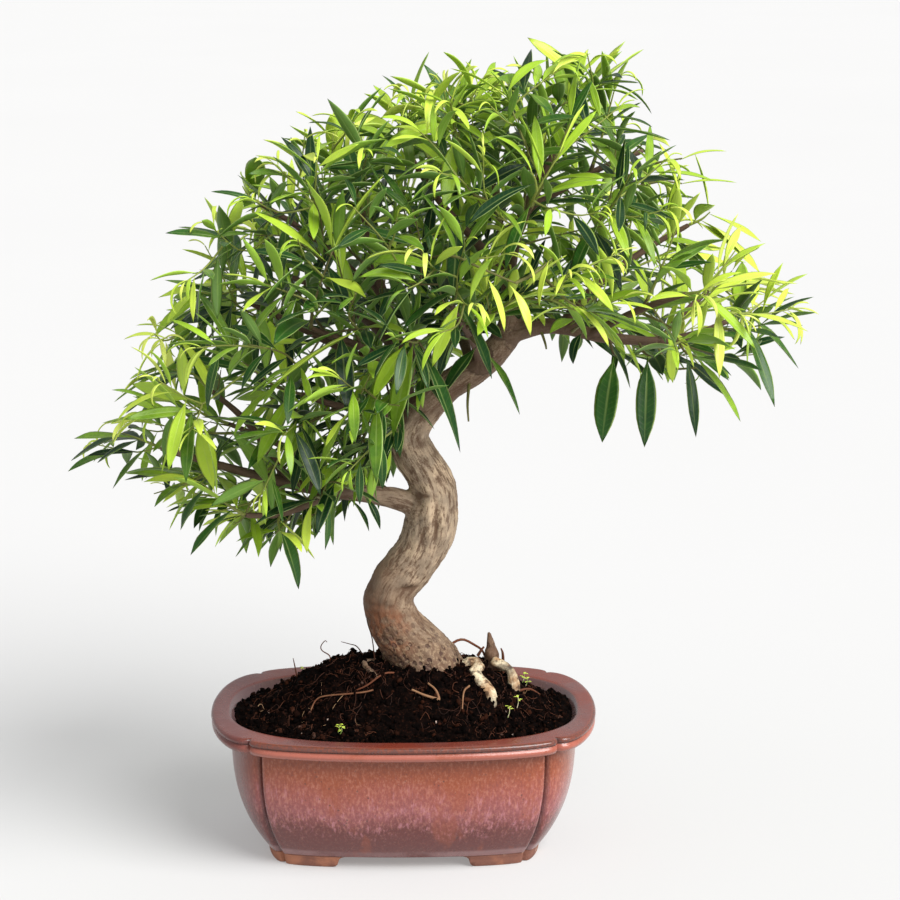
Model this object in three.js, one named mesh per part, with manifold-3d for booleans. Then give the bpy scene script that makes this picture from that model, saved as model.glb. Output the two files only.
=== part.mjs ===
// Willow leaf ficus bonsai in its lobed ceramic pot.
// Millimetres, +Z up, the front of the pot towards -Y.
// The pot, the soil, two drainage screens, the wood of the tree and each leafy shoot are solids of
// their own. The frame's origin is under the middle of the whole outline, at the feet's level.

import * as THREE from 'three';
import { mergeVertices } from 'three/addons/utils/BufferGeometryUtils.js';
import Module from 'manifold-3d';

const wasm = await Module();
wasm.setup();

// Driving dimensions

const clearance = 0.3;            // gap that touching pieces keep
const slopeGap = 0.45;            // the same gap beside the sloping mouth
const potCentre = [-19.5, 0];     // pot centre, left of the middle because the crown leans right

const pot = {
  halfWidth: 100.5, halfDepth: 73,      // rim outline at the middle of its lobes
  notchX: 78.4, notchY: 57,             // where a long and a short lobe meet
  notchDip: 1.3,                        // depth of the groove that runs down there
  notchFollow: [0.56, 0.75],            // how far the notch moves in for a step in of the lobes
  height: 74.3,                         // feet to the top of the rim
  lip: 8,                               // depth of the out-turned lip's edge
  lipProfile: [[1.4, 0.4], [0.6, 3], [0.8, 4.4], [0.2, 5.4], [0, 7], [0.9, 8]],  // step in, and up the lip
  footHeight: 7.2, floorTop: 12.6,      // feet, and the inside floor
  bodyInset: 10.3, baseInset: 26.7,     // how far the body stands in from the rim, top and base
  bellyPower: 2.9,                      // how late the body turns in on its way down
  bodyLevels: [7.2, 12.5, 21, 32, 46],  // heights of the body's rings below the lip
  mouthHalf: [90.6, 60.8],              // smooth inner edge of the rim
  mouthEdge: 0.8,                       // height of that edge's upright part
  cavityTopHalf: [84.4, 55.6],          // inside wall under the lip
  cavityFloorHalf: [66, 37],            // inside floor
  footBand: 9.5,                        // width of the ring that the feet are cut from
  footInset: [2.6, 1.4],                // how far the feet stand in from the body's base, bottom and top
  hollowUnder: 0.6,                     // how much lower the hollow under the floor ends than the feet
  frontGap: [39.5, 28],                 // half width of the gap between feet, at the ground and on top
  sideGap: [19, 11],
  gapKnee: [0.4, 0.7],                  // where a foot's sloping end turns, as shares of its run and rise
  gapTop: 0.7,                          // how much lower the gap ends than the feet
  drainRadius: 7, drainX: 34, drainSides: 12,
};
const mouthPower = 2.57;                // squareness of the rounded mouth
const lobeSteps = { long: 8, short: 6 };

const screen = { half: 13, thick: 1.2, bar: 2.4, openings: 2 };

const soil = {
  edge: 70.8, tilt: 1.8,                // height at the pot's middle, and its fall to the back
  moundHeight: 28, moundAt: [0, 4], moundSpread: [56, 34], moundPower: 4,
  rough: 0.45,                          // height of the lumps
  lumps: [[0.21, 0.11, 0], [-0.13, 0.33, 1.7], [0.47, 0, 0.6]],  // waves along x and y, and their start
  ringShares: [1, 0.88, 0.7, 0.52, 0.34, 0.16],
  pocketHeight: 6,
};

const wood = {
  trunkSides: 12, stoutSides: 7, limbSides: 5, twigSides: 4,
  stoutFrom: 4, limbFrom: 3.3,          // start radius of a stout limb and of a limb
  taperPower: 0.8,                      // how early a limb thins
  twigRadius: 1.45, tipRadius: 0.75, spurLength: 3, barkRoom: 0.8,
};

const leaf = {
  length: [46, 35],                     // at the foot and at the tip of a shoot
  sizeSpread: [0.86, 1.12], shorter: 0.78,
  widthRatio: 0.215, keel: 1.15, fold: 0.16,
  lean: [1.12, 0.42], leanSpread: 0.5,  // angle off the shoot, at its foot and at its tip
  lift: 0.12, bend: [0.06, 0.26], setBend: 0.1, rollSpread: 0.9,
  firstAt: 0.16, tries: 9, tryTurn: 0.35,
  room: 1.8, basePatch: 7, spotStep: 3, // space kept round a blade, in spots along it
  spotShare: 0.75,                      // how far out the side spots lie
  thinnest: 0.9,                        // least half width of a blade's section
  outline: [0.86, 0.85],                // powers that shape the blade's edge
  rings: [[0.3, 0.88], [0.64, 0.88]],   // sections: place along the blade, share of its width
  fineRings: [[0.13, 0.17], [0.42, 1], [0.74, 0.68]],
  neck: 0.6,                            // how deep a blade starts in its stem, as a share of its radius
  seed: 90000, seedStep: 977,
};
const goldenAngle = Math.PI * (3 - Math.sqrt(5));

const growth = {                        // how a shoot finds its way out of the crown
  tries: 60, length: [46, 20], outward: 0.8, ahead: 0.55, upward: 0.3, stray: 1.3,
  kneeAt: 0.4, tipLift: 0.1, leafReach: 8, room: 4, stemRoom: 2,
  looks: 12, startFree: 7,              // places looked at on the way, and how far off they begin
  mostAlong: 0.8,                      // cosine of the least angle between a side shoot and its limb
  seed: 7000, seedStep: 131, shortShoot: 18,
};

const crown = {
  heart: [15, 0, 262],                  // where the crown's shoots point away from
  centre: [15, 0, 285], reach: [217, 118, 168], top: 419,
  leavesPerShoot: 9,
};

// The crown's outline from the front, as height over the sideways place
const crownTop = [[-166, 220], [-150, 234], [-124, 280], [-92, 340], [-53, 374], [-14, 397], [39, 412],
  [67, 420], [108, 418], [120, 384], [142, 348], [170, 318], [205, 292]];
const crownUnder = [[-166, 205], [-146, 198], [-125, 180], [-102, 163], [-51, 152], [-34, 174], [-10, 190],
  [6, 224], [26, 260], [62, 276], [100, 262], [122, 248], [160, 244], [185, 250], [205, 272]];
const frontSlope = 0.225;               // a front leaf looks this much lower per step towards the viewer

// The trunk, from the root plug up: x, y, z, radius
const trunkRings = [[8, 4, 56, 14], [9, 4, 79, 20], [11, 4, 91, 22], [7, 4, 101, 18.5],
  [1, 4, 110, 15.2], [-4, 4, 117, 14.2], [-7.5, 4, 127, 13.6], [-5.5, 3, 137, 13.2],
  [2, 3, 147, 12.8], [9, 2, 157, 12.8], [13.5, 1, 169, 13.8], [15.5, 1, 180, 13.6], [16, 1, 189, 12],
  [12, 1, 199, 11.5], [6, 1, 209, 11.2], [3, 1, 218, 10.4], [7, 1, 227, 9.4], [13, 0, 235, 8.8],
  [24, 0, 244.5, 8.2], [38, 0, 254, 7.7], [48, 0, 263, 7.5], [55, 0, 273, 6.9]];

// Limbs: points in order, radius at the start and the end, and where side shoots leave them
const limbs = [
  { name: 'low_left', points: [[8, 1, 181], [-4, -2, 186], [-20, -7, 189.5], [-38, -13, 193],
    [-58, -19, 198], [-90, -24, 208], [-122, -25, 218]], radius: [6.8, 1.6], shoots: [0.66, 0.84] },
  { name: 'low_front', points: [[-36, -13, 192.5], [-48, -30, 190], [-62, -44, 188], [-78, -54, 190]],
    radius: [3, 1.45], shoots: [] },
  { name: 'low_back', points: [[-28, -9, 191], [-42, 16, 198], [-66, 38, 206], [-92, 50, 214]],
    radius: [3.4, 1.45], shoots: [0.55] },
  { name: 'low_rise', points: [[-58, -19, 198], [-68, -12, 214], [-82, -6, 230], [-98, -2, 243]],
    radius: [2.8, 1.45], shoots: [0.5] },
  { name: 'stem_low_left', points: [[1, 3, 228], [-18, -10, 234], [-34, -26, 240], [-50, -38, 248]],
    radius: [2.8, 1.45], shoots: [0.6] },
  { name: 'stem', points: [[4, 2, 212], [1, 3, 236], [0, 5, 254], [-5, 8, 276], [-13, 8, 302],
    [-20, 6, 334]], radius: [6.4, 1.7], shoots: [0.78] },
  { name: 'stem_left', points: [[0, 4, 246], [-22, 8, 258], [-48, 4, 272], [-78, 0, 288]],
    radius: [3.4, 1.45], shoots: [0.5, 0.75] },
  { name: 'stem_front_left', points: [[0, 4, 252], [-12, -22, 264], [-26, -46, 276], [-44, -64, 286]],
    radius: [3, 1.45], shoots: [0.55] },
  { name: 'stem_back_left', points: [[-1, 5, 260], [-18, 34, 272], [-42, 58, 284], [-66, 72, 292]],
    radius: [3, 1.45], shoots: [0.6] },
  { name: 'stem_high_left', points: [[-7, 8, 284], [-30, 12, 306], [-54, 8, 326], [-72, 4, 338]],
    radius: [2.8, 1.45], shoots: [0.55] },
  { name: 'stem_front', points: [[1, 3, 240], [4, -18, 254], [6, -40, 268], [4, -60, 280]],
    radius: [2.8, 1.45], shoots: [0.6] },
  { name: 'crown_stem', points: [[52, 0, 268], [56, 1, 285], [54, 2, 302], [58, 2, 324], [70, 2, 350],
    [82, 4, 372]], radius: [6.6, 1.7], shoots: [0.66, 0.84] },
  { name: 'crown_left', points: [[54, 2, 300], [36, 2, 320], [18, 4, 340], [4, 6, 362]],
    radius: [3, 1.45], shoots: [0.6] },
  { name: 'crown_front', points: [[55, 2, 306], [56, -24, 318], [58, -48, 332], [62, -68, 346]],
    radius: [3, 1.45], shoots: [0.5, 0.75] },
  { name: 'crown_back', points: [[55, 2, 300], [52, 30, 314], [50, 56, 328], [48, 74, 340]],
    radius: [3, 1.45], shoots: [0.6] },
  { name: 'crown_right', points: [[62, 2, 334], [82, 2, 346], [102, 4, 356], [122, 6, 364]],
    radius: [2.8, 1.45], shoots: [0.55] },
  { name: 'arm_back', points: [[36, 0, 253], [30, 32, 266], [20, 62, 280], [10, 82, 292]],
    radius: [3.2, 1.45], shoots: [0.6] },
  { name: 'arm_front', points: [[40, 0, 256], [36, -22, 270], [30, -46, 284], [24, -66, 298]],
    radius: [2.6, 1.45], shoots: [0.62] },
  { name: 'right', points: [[52, 0, 270], [70, -2, 275.5], [84, -5, 275], [98, -9, 272], [112, -12, 270.5],
    [130, -13, 270], [150, -13, 274], [168, -10, 281]], radius: [5, 1.5], shoots: [0.7, 0.9] },
  { name: 'right_rise', points: [[82, -5, 275.5], [98, 4, 294], [122, 8, 312], [146, 8, 326]],
    radius: [2.8, 1.45], shoots: [0.6] },
  { name: 'right_front', points: [[96, -8, 272.5], [108, -30, 284], [122, -48, 294], [138, -62, 302]],
    radius: [2.6, 1.45], shoots: [0.6] },
  { name: 'right_back', points: [[80, -4, 275.5], [94, 26, 286], [112, 50, 296], [128, 64, 304]],
    radius: [2.8, 1.45], shoots: [0.6] },
  { name: 'right_far_back', points: [[130, -13, 270], [144, 10, 280], [158, 28, 288]],
    radius: [2, 1.45], shoots: [] },
];

// Surface roots that leave the foot of the trunk and go back into the soil
const roots = [
  { points: [[20, -2, 92], [30.5, -6, 95], [34.3, -5, 98.4], [39, -4, 99.8], [42, -8, 97.2],
    [41.7, -14, 92.8], [45, -20, 87.7], [47.5, -25, 83.7], [46.8, -30, 76]], radius: [3.2, 2.5] },
  { points: [[26, 3, 90], [38, 2, 93], [46, 2, 98], [52, 1, 99], [56, -1, 95.8], [57.2, -5, 90],
    [57, -8, 80]], radius: [2.8, 2.3] },
  { points: [[24, 9, 88], [42, 8, 92], [47, 8, 100], [45.4, 8, 106], [45, 8, 111.5]], radius: [4.6, 0.9] },
  { points: [[-4, 4, 96], [-18, 0, 97.5], [-20, -9, 98.4], [-15, -18, 95.5], [-9, -26, 86]],
    radius: [2, 1.4] },
];

// Shoots and leaves set by hand where the crown's outline or its front is made by single leaves.
// A leaf grows at its share of the shoot's length and ends at its tip.
const setShoots = [
  { limb: 'stem_front', at: 1, via: [8, -68, 280], tip: [14, -72, 272], fill: 3, leaves: [
    { at: 0.45, tip: [28, -78, 228], width: 9.5 }, { at: 0.1, tip: [-14, -78, 254], width: 8.5 },
    { at: 0.3, tip: [-4, -80, 236], width: 10.5 }] },
  { limb: 'stem_front_left', at: 0.86, via: [-24, -68, 286], tip: [-18, -78, 288], fill: 3, leaves: [
    { at: 0.8, tip: [-60, -90, 264], width: 9.5 }] },
  { limb: 'stem_front_left', at: 1, via: [-42, -72, 300], tip: [-32, -78, 328], fill: 2, leaves: [
    { at: 0.97, tip: [-45, -84, 361], width: 12.5 }, { at: 0.94, tip: [-9, -84, 362], width: 10 },
    { at: 0.86, tip: [-70, -80, 345], width: 9 }, { at: 0.75, tip: [-17, -92, 306], width: 10.5 }] },
  { limb: 'arm_front', at: 1, via: [26, -72, 302], tip: [27, -80, 310], fill: 3, leaves: [
    { at: 0.5, tip: [43, -80, 265], width: 9.5 }, { at: 0.85, tip: [1, -88, 290], width: 8.5 }] },
  { limb: 'arm_front', at: 0.5, via: [38, -38, 272], tip: [42, -42, 270], fill: 0, leaves: [
    { at: 0.4, tip: [20, -62, 252], width: 8 }, { at: 0.92, tip: [58, -48, 240], width: 8 }] },
  { limb: 'right', at: 0.5, via: [106, -19, 265], tip: [107, -28, 265], fill: 0, leaves: [
    { at: 0.75, tip: [100, -38, 224], width: 12.5 }] },
  { limb: 'right', at: 0.63, via: [122, -21, 265], tip: [125, -29, 265], fill: 1, leaves: [
    { at: 0.7, tip: [121, -40, 222], width: 10.5 }] },
  { limb: 'right', at: 0.78, via: [142, -23, 266], tip: [147, -30, 265], fill: 2, leaves: [
    { at: 0.95, tip: [168, -42, 235], width: 8 }, { at: 0.55, tip: [147, -36, 226], width: 6 }] },
  { limb: 'right', at: 1, via: [176, -8, 284], tip: [184, -6, 290], fill: 3, leaves: [
    { at: 0.96, tip: [205, -2, 302], width: 5 }, { at: 0.8, tip: [204, -12, 284], width: 5 },
    { at: 0.4, tip: [199, -22, 258], width: 7 }, { at: 0.2, tip: [186, -34, 241], width: 7 }] },
  { limb: 'low_left', at: 1, via: [-130, -26, 222], tip: [-141, -26, 226], fill: 4, leaves: [
    { at: 0.97, tip: [-166, -31, 213], width: 7.5 }, { at: 0.6, tip: [-152, -40, 214], width: 6.5 },
    { at: 0.3, tip: [-145, -36, 200], width: 5 }] },
  { limb: 'low_front', at: 1, via: [-88, -52, 196], tip: [-100, -46, 205], fill: 4, leaves: [
    { at: 0.9, tip: [-110, -54, 183], width: 9.5 }, { at: 0.3, tip: [-104, -68, 174], width: 8.5 }] },
  { limb: 'low_front', at: 0.62, via: [-62, -48, 186], tip: [-61, -54, 182], fill: 1, leaves: [
    { at: 0.8, tip: [-52, -56, 153], width: 10.5 }, { at: 0.3, tip: [-44, -52, 167], width: 5 }] },
  { limb: 'crown_stem', at: 1, via: [88, 6, 384], tip: [95, 8, 395], fill: 5, leaves: [
    { at: 0.95, tip: [64, 12, 419.6], width: 9 }, { at: 0.97, tip: [112, 10, 418], width: 8 },
    { at: 0.8, tip: [122, 22, 413], width: 7 }] },
  { limb: 'stem_left', at: 1, via: [-86, -2, 302], tip: [-88, -2, 316], fill: 4, leaves: [
    { at: 0.95, tip: [-99, 0, 341], width: 9 }, { at: 0.35, tip: [-122, -8, 292], width: 8 },
    { at: 0.6, tip: [-108, -26, 319], width: 9 }] },
  { limb: 'stem_high_left', at: 1, via: [-77, 2, 342], tip: [-80, 0, 347], fill: 7, leaves: [] },
  { limb: 'stem', at: 1, via: [-24, 4, 346], tip: [-34, 2, 360], fill: 5, leaves: [
    { at: 0.95, tip: [-36, 2, 386], width: 8.5 }, { at: 0.9, tip: [-55, -8, 378], width: 7.5 }] },
  { limb: 'crown_left', at: 1, via: [0, 8, 374], tip: [-4, 10, 382], fill: 6, leaves: [
    { at: 0.95, tip: [-14, 14, 396], width: 7 }] },
  { limb: 'right_rise', at: 1, via: [152, 6, 329], tip: [156, 4, 333], fill: 7, leaves: [
    { at: 0.95, tip: [148, 5, 362], width: 5 }, { at: 0.9, tip: [181, -2, 319], width: 5 }] },
];

// Small vector and chance helpers

const vec = (p) => new THREE.Vector3(p[0], p[1], p[2]);
const up = new THREE.Vector3(0, 0, 1);
const mix = (a, b, t) => a + (b - a) * t;

// A repeatable stream of numbers between 0 and 1
function chance(seed) {
  let state = seed | 0;
  return () => {
    state = (state + 0x6D2B79F5) | 0;
    let t = Math.imul(state ^ (state >>> 15), 1 | state);
    t = (t + Math.imul(t ^ (t >>> 7), 61 | t)) ^ t;
    return ((t ^ (t >>> 14)) >>> 0) / 4294967296;
  };
}

// Height of an outline given as [x, height] points
function heightAt(outline, x) {
  if (x <= outline[0][0]) return outline[0][1];
  for (let i = 1; i < outline.length; i++) {
    const [x1, h1] = outline[i];
    const [x0, h0] = outline[i - 1];
    if (x <= x1) return mix(h0, h1, (x - x0) / (x1 - x0));
  }
  return outline[outline.length - 1][1];
}

// A point on the smooth line through the given points, t from 0 to 1
function along(points, t) {
  const last = points.length - 1;
  const place = Math.min(Math.max(t, 0), 1) * last;
  const i = Math.min(Math.floor(place), last - 1);
  const u = place - i;
  const b = points[i];
  const c = points[i + 1];
  const a = i > 0 ? points[i - 1] : b.clone().multiplyScalar(2).sub(c);
  const d = i < last - 1 ? points[i + 2] : c.clone().multiplyScalar(2).sub(b);
  const value = (p, q, r, s) => 0.5 * (2 * q + (r - p) * u + (2 * p - 5 * q + 4 * r - s) * u * u
    + (3 * q - p - 3 * r + s) * u * u * u);
  return new THREE.Vector3(value(a.x, b.x, c.x, d.x), value(a.y, b.y, c.y, d.y), value(a.z, b.z, c.z, d.z));
}

function heading(points, t) {
  const step = 0.01;
  const ahead = along(points, Math.min(t + step, 1));
  return ahead.sub(along(points, Math.max(t - step, 0))).normalize();
}

// The way a limb's last stretch points
function endHeading(points) {
  const last = points.length - 1;
  return points[last].clone().sub(points[last - 1]).normalize();
}

// Two directions square to a given one
function frameOf(direction) {
  const helper = Math.abs(direction.z) > 0.9 ? new THREE.Vector3(0, 1, 0) : up;
  const side = new THREE.Vector3().crossVectors(helper, direction).normalize();
  const over = new THREE.Vector3().crossVectors(direction, side);
  return [side, over];
}

// Solids from rings of points

// Joins rings of equal length into a closed body, with a fan on the first and the last ring.
// Each ring runs anticlockwise seen from the end that the rings lead to.
function loft(rings) {
  const count = rings[0].length;
  const positions = [];
  const index = [];
  for (const ring of rings) for (const p of ring) positions.push(p.x, p.y, p.z);
  for (let r = 0; r + 1 < rings.length; r++) {
    for (let i = 0; i < count; i++) {
      const j = (i + 1) % count;
      const a = r * count + i;
      const b = r * count + j;
      index.push(a, b, b + count, a, b + count, a + count);
    }
  }
  const closeEnd = (start, flip) => {
    const middle = new THREE.Vector3();
    for (let i = 0; i < count; i++) middle.add(rings[start / count][i]);
    middle.divideScalar(count);
    const centre = positions.length / 3;
    positions.push(middle.x, middle.y, middle.z);
    for (let i = 0; i < count; i++) {
      const a = start + i;
      const b = start + ((i + 1) % count);
      if (flip) index.push(centre, b, a);
      else index.push(centre, a, b);
    }
  };
  closeEnd(0, true);
  closeEnd((rings.length - 1) * count, false);
  return asGeometry(positions, index);
}

function asGeometry(positions, index) {
  const geometry = new THREE.BufferGeometry();
  geometry.setAttribute('position', new THREE.Float32BufferAttribute(positions, 3));
  geometry.setIndex(index);
  return geometry;
}

// A tapering round body along points. Its side vectors are carried on from ring to ring.
function taper(points, radii, sides, firstDirection = null) {
  const rings = [];
  let side = null;
  for (let i = 0; i < points.length; i++) {
    const before = points[Math.max(i - 1, 0)];
    const after = points[Math.min(i + 1, points.length - 1)];
    const direction = after.clone().sub(before).normalize();
    if (i === 0 && firstDirection !== null) direction.copy(firstDirection);
    if (side === null) side = frameOf(direction)[0];
    side.addScaledVector(direction, -side.dot(direction)).normalize();
    const over = new THREE.Vector3().crossVectors(direction, side);
    const ring = [];
    for (let k = 0; k < sides; k++) {
      const angle = (k / sides) * Math.PI * 2;
      ring.push(points[i].clone().addScaledVector(side, Math.cos(angle) * radii[i])
        .addScaledVector(over, Math.sin(angle) * radii[i]));
    }
    rings.push(ring);
  }
  return loft(rings);
}

function toSolid(geometry) {
  const bare = geometry.clone();
  bare.deleteAttribute('normal');
  bare.deleteAttribute('uv');
  const merged = mergeVertices(bare, 1e-4);
  return new wasm.Manifold(new wasm.Mesh({
    numProp: 3,
    vertProperties: new Float32Array(merged.attributes.position.array),
    triVerts: new Uint32Array(merged.index.array),
  }));
}

function toGeometry(solid) {
  const mesh = solid.getMesh();
  const geometry = new THREE.BufferGeometry();
  geometry.setAttribute('position', new THREE.BufferAttribute(new Float32Array(mesh.vertProperties), 3));
  geometry.setIndex(new THREE.BufferAttribute(new Uint32Array(mesh.triVerts), 1));
  geometry.computeVertexNormals();
  return geometry;
}

// Adds solids together two by two, so that no join works on a large pile
function joinAll(solids) {
  let pile = solids;
  while (pile.length > 1) {
    const next = [];
    for (let i = 0; i < pile.length; i += 2) {
      next.push(i + 1 < pile.length ? pile[i].add(pile[i + 1]) : pile[i]);
    }
    pile = next;
  }
  return pile[0];
}

// The pot

// One quarter of the lobed outline is half a long lobe and half a short one, which meet in a notch
function lobedRing(inset, z) {
  const half = [pot.halfWidth - inset, pot.halfDepth - inset];
  const notch = [pot.notchX - inset * pot.notchFollow[0], pot.notchY - inset * pot.notchFollow[1]];
  const quarter = [];
  for (let i = 0; i < lobeSteps.short / 2; i++) {
    const angle = (i / (lobeSteps.short / 2)) * Math.PI / 2;
    quarter.push([notch[0] + (half[0] - notch[0]) * Math.cos(angle), notch[1] * Math.sin(angle)]);
  }
  quarter.push(notch.map((place) => place - pot.notchDip));
  for (let i = lobeSteps.long / 2 - 1; i > 0; i--) {
    const angle = (i / (lobeSteps.long / 2)) * Math.PI / 2;
    quarter.push([notch[0] * Math.sin(angle), notch[1] + (half[1] - notch[1]) * Math.cos(angle)]);
  }
  const turnBack = quarter.slice(1).reverse().map(([x, y]) => [-x, y]);
  const upper = [...quarter, [0, half[1]], ...turnBack];
  const lower = upper.map(([x, y]) => [-x, -y]);
  return [...upper, ...lower].map(([x, y]) => new THREE.Vector3(x, y, z));
}

// The smooth inner outline, with as many points as the lobed one
function smoothRing(half, z) {
  const count = 2 * (lobeSteps.long + lobeSteps.short);
  const ring = [];
  for (let i = 0; i < count; i++) {
    const angle = (i / count) * Math.PI * 2;
    const c = Math.cos(angle);
    const s = Math.sin(angle);
    ring.push(new THREE.Vector3(
      half[0] * Math.sign(c) * Math.abs(c) ** (2 / mouthPower),
      half[1] * Math.sign(s) * Math.abs(s) ** (2 / mouthPower), z));
  }
  return ring;
}

// How far the body stands in from the rim's outline at a height
function bodyInset(z) {
  const drop = (pot.height - pot.lip - z) / (pot.height - pot.lip - pot.footHeight);
  return mix(pot.bodyInset, pot.baseInset, Math.max(drop, 0) ** pot.bellyPower);
}

// The inside wall runs straight from under the lip to the floor
function cavityHalf(z, gap) {
  const rise = (z - pot.floorTop) / (pot.height - pot.lip - pot.floorTop);
  return [0, 1].map((k) => {
    const curve = Math.sin(Math.min(Math.max(rise, 0), 1) * Math.PI / 2);
    return mix(pot.cavityFloorHalf[k], pot.cavityTopHalf[k], curve) - gap;
  });
}

const cavityLevels = [pot.floorTop, 24, 44, pot.height - pot.lip];

// Above the wall the mouth opens out to the lip
function mouthHalfAt(z, gap) {
  const share = (z - pot.height + pot.lip) / (pot.lip - pot.mouthEdge);
  return [0, 1].map((k) => mix(pot.cavityTopHalf[k], pot.mouthHalf[k], share) - gap);
}

function makePot() {
  const bodyTop = pot.height - pot.lip;
  const footTop = pot.footHeight - 0.4;
  const outside = loft([
    lobedRing(pot.baseInset + pot.footInset[0], 0),
    lobedRing(pot.baseInset + pot.footInset[1], footTop),
    ...[...pot.bodyLevels, bodyTop].map((z) => lobedRing(bodyInset(z), z)),
    ...pot.lipProfile.map(([inset, rise]) => lobedRing(inset, bodyTop + rise)),
  ]);
  const cavity = loft([
    ...cavityLevels.map((z) => smoothRing(cavityHalf(z, 0), z)),
    smoothRing(pot.mouthHalf, pot.height - pot.mouthEdge),
    smoothRing(pot.mouthHalf, pot.height + 5),
  ]);
  let solid = toSolid(outside).subtract(toSolid(cavity));
  const standIn = pot.baseInset + pot.footBand;
  const underHalf = [pot.halfWidth - standIn, pot.halfDepth - standIn];
  const underTop = pot.footHeight - pot.hollowUnder;
  solid = solid.subtract(toSolid(loft([smoothRing(underHalf, -1), smoothRing(underHalf, underTop)])));
  const reach = pot.halfWidth * 2;
  solid = solid.subtract(toSolid(gapBar(pot.frontGap, reach, false)));
  solid = solid.subtract(toSolid(gapBar(pot.sideGap, reach, true)));
  for (const side of [-1, 1]) {
    const long = 4 * pot.floorTop;
    const drain = new THREE.CylinderGeometry(pot.drainRadius, pot.drainRadius, long, pot.drainSides);
    drain.rotateX(Math.PI / 2);
    drain.translate(side * pot.drainX, 0, pot.floorTop);
    solid = solid.subtract(toSolid(drain));
  }
  return solid;
}

// The space between two feet: a bar with sloping ends, along Y or turned along X
function gapBar([lowHalf, topHalf], length, turned) {
  const top = pot.footHeight - pot.gapTop;
  const kneeHalf = mix(lowHalf, topHalf, pot.gapKnee[0]);
  const kneeHeight = top * pot.gapKnee[1];
  const below = -1;
  const shape = new THREE.Shape();
  shape.moveTo(-lowHalf, below);
  shape.lineTo(lowHalf, below);
  shape.lineTo(lowHalf, 0);
  shape.lineTo(kneeHalf, kneeHeight);
  shape.lineTo(topHalf, top);
  shape.lineTo(-topHalf, top);
  shape.lineTo(-kneeHalf, kneeHeight);
  shape.lineTo(-lowHalf, 0);
  shape.closePath();
  const bar = new THREE.ExtrudeGeometry(shape, { depth: length, bevelEnabled: false });
  bar.translate(0, 0, -length / 2);
  bar.rotateX(Math.PI / 2);
  if (turned) bar.rotateZ(Math.PI / 2);
  return bar;
}

// A plastic screen over a drainage hole, a plate with square openings
function makeScreen(x) {
  const { half, thick, bar, openings } = screen;
  const z = pot.floorTop + clearance + thick / 2;
  const plate = new THREE.BoxGeometry(2 * half, 2 * half, thick);
  plate.translate(x, 0, z);
  let solid = toSolid(plate);
  const width = (2 * half - (openings + 1) * bar) / openings;
  for (let i = 0; i < openings; i++) {
    for (let j = 0; j < openings; j++) {
      const hole = new THREE.BoxGeometry(width, width, 3 * thick);
      const step = width + bar;
      hole.translate(x - half + bar + width / 2 + i * step, -half + bar + width / 2 + j * step, z);
      solid = solid.subtract(toSolid(hole));
    }
  }
  return solid;
}

// The soil

function soilHeight(x, y) {
  const dx = (x - soil.moundAt[0]) / soil.moundSpread[0];
  const dy = (y - soil.moundAt[1]) / soil.moundSpread[1];
  const mound = soil.moundHeight * Math.exp(-0.5 * Math.hypot(dx, dy) ** soil.moundPower);
  let lumps = 0;
  for (const [acrossX, acrossY, start] of soil.lumps) lumps += Math.sin(x * acrossX + y * acrossY + start);
  return soil.edge - soil.tilt * (y / pot.mouthHalf[1]) + mound + soil.rough * lumps;
}

function makeSoil(hollows) {
  const rim = smoothRing([1, 1], 0).map((p) => {
    let place = p;
    let half = mouthHalfAt(soil.edge, slopeGap);
    for (let step = 0; step < 4; step++) {
      place = new THREE.Vector3(p.x * half[0], p.y * half[1], 0);
      half = mouthHalfAt(soilHeight(place.x, place.y), slopeGap);
    }
    return place;
  });
  const [cx, cy] = soil.moundAt;
  const top = soil.ringShares.map((share) => rim.map((p) => {
    const x = mix(cx, p.x, share);
    const y = mix(cy, p.y, share);
    return new THREE.Vector3(x, y, soilHeight(x, y));
  }));
  const walls = cavityLevels.map((z) => {
    return smoothRing(cavityHalf(z, clearance), Math.max(z, pot.floorTop + clearance));
  });
  let solid = toSolid(loft([...walls, ...top]));
  for (const hollow of hollows) solid = solid.subtract(hollow);
  for (const side of [-1, 1]) {
    const width = 2 * (screen.half + clearance);
    const pocket = new THREE.BoxGeometry(width, width, soil.pocketHeight);
    const pocketTop = pot.floorTop + screen.thick + 2 * clearance;
    pocket.translate(side * pot.drainX, 0, pocketTop - soil.pocketHeight / 2);
    solid = solid.subtract(toSolid(pocket));
  }
  return solid;
}

// The wood: trunk, limbs, spurs and surface roots in one piece

const limbPoints = new Map(limbs.map((limb) => [limb.name, limb.points.map(vec)]));

function limbRadius(limb, t) {
  return mix(limb.radius[0], limb.radius[1], t ** wood.taperPower);
}

function limbSides(limb) {
  if (limb.radius[0] > wood.stoutFrom) return wood.stoutSides;
  return limb.radius[0] > wood.limbFrom ? wood.limbSides : wood.twigSides;
}

function limbSolid(limb) {
  const points = limbPoints.get(limb.name);
  const steps = points.length - 1;
  const radii = points.map((_, i) => limbRadius(limb, i / steps));
  return toSolid(taper(points, radii, limbSides(limb)));
}

function trunkSolid(grow) {
  const points = trunkRings.map(vec);
  if (grow > 0) points[0].z -= grow;
  return toSolid(taper(points, trunkRings.map((ring) => ring[3] + grow), wood.trunkSides));
}

function rootSolid(root, grow) {
  const points = root.points.map(vec);
  const last = points.length - 1;
  const ahead = points[last].clone().sub(points[last - 1]).setLength(grow);
  points[last].add(ahead);
  const radii = points.map((_, i) => mix(root.radius[0], root.radius[1], i / last) + grow);
  return toSolid(taper(points, radii, wood.twigSides + 1));
}

// Room book-keeping, so that no leaf or shoot crosses another

const cellSize = 6;
const cellReach = 3;
const lineStep = 3;
const heldPoints = new Map();
const cellKey = (...place) => place.map((value) => Math.floor(value / cellSize)).join();

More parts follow.
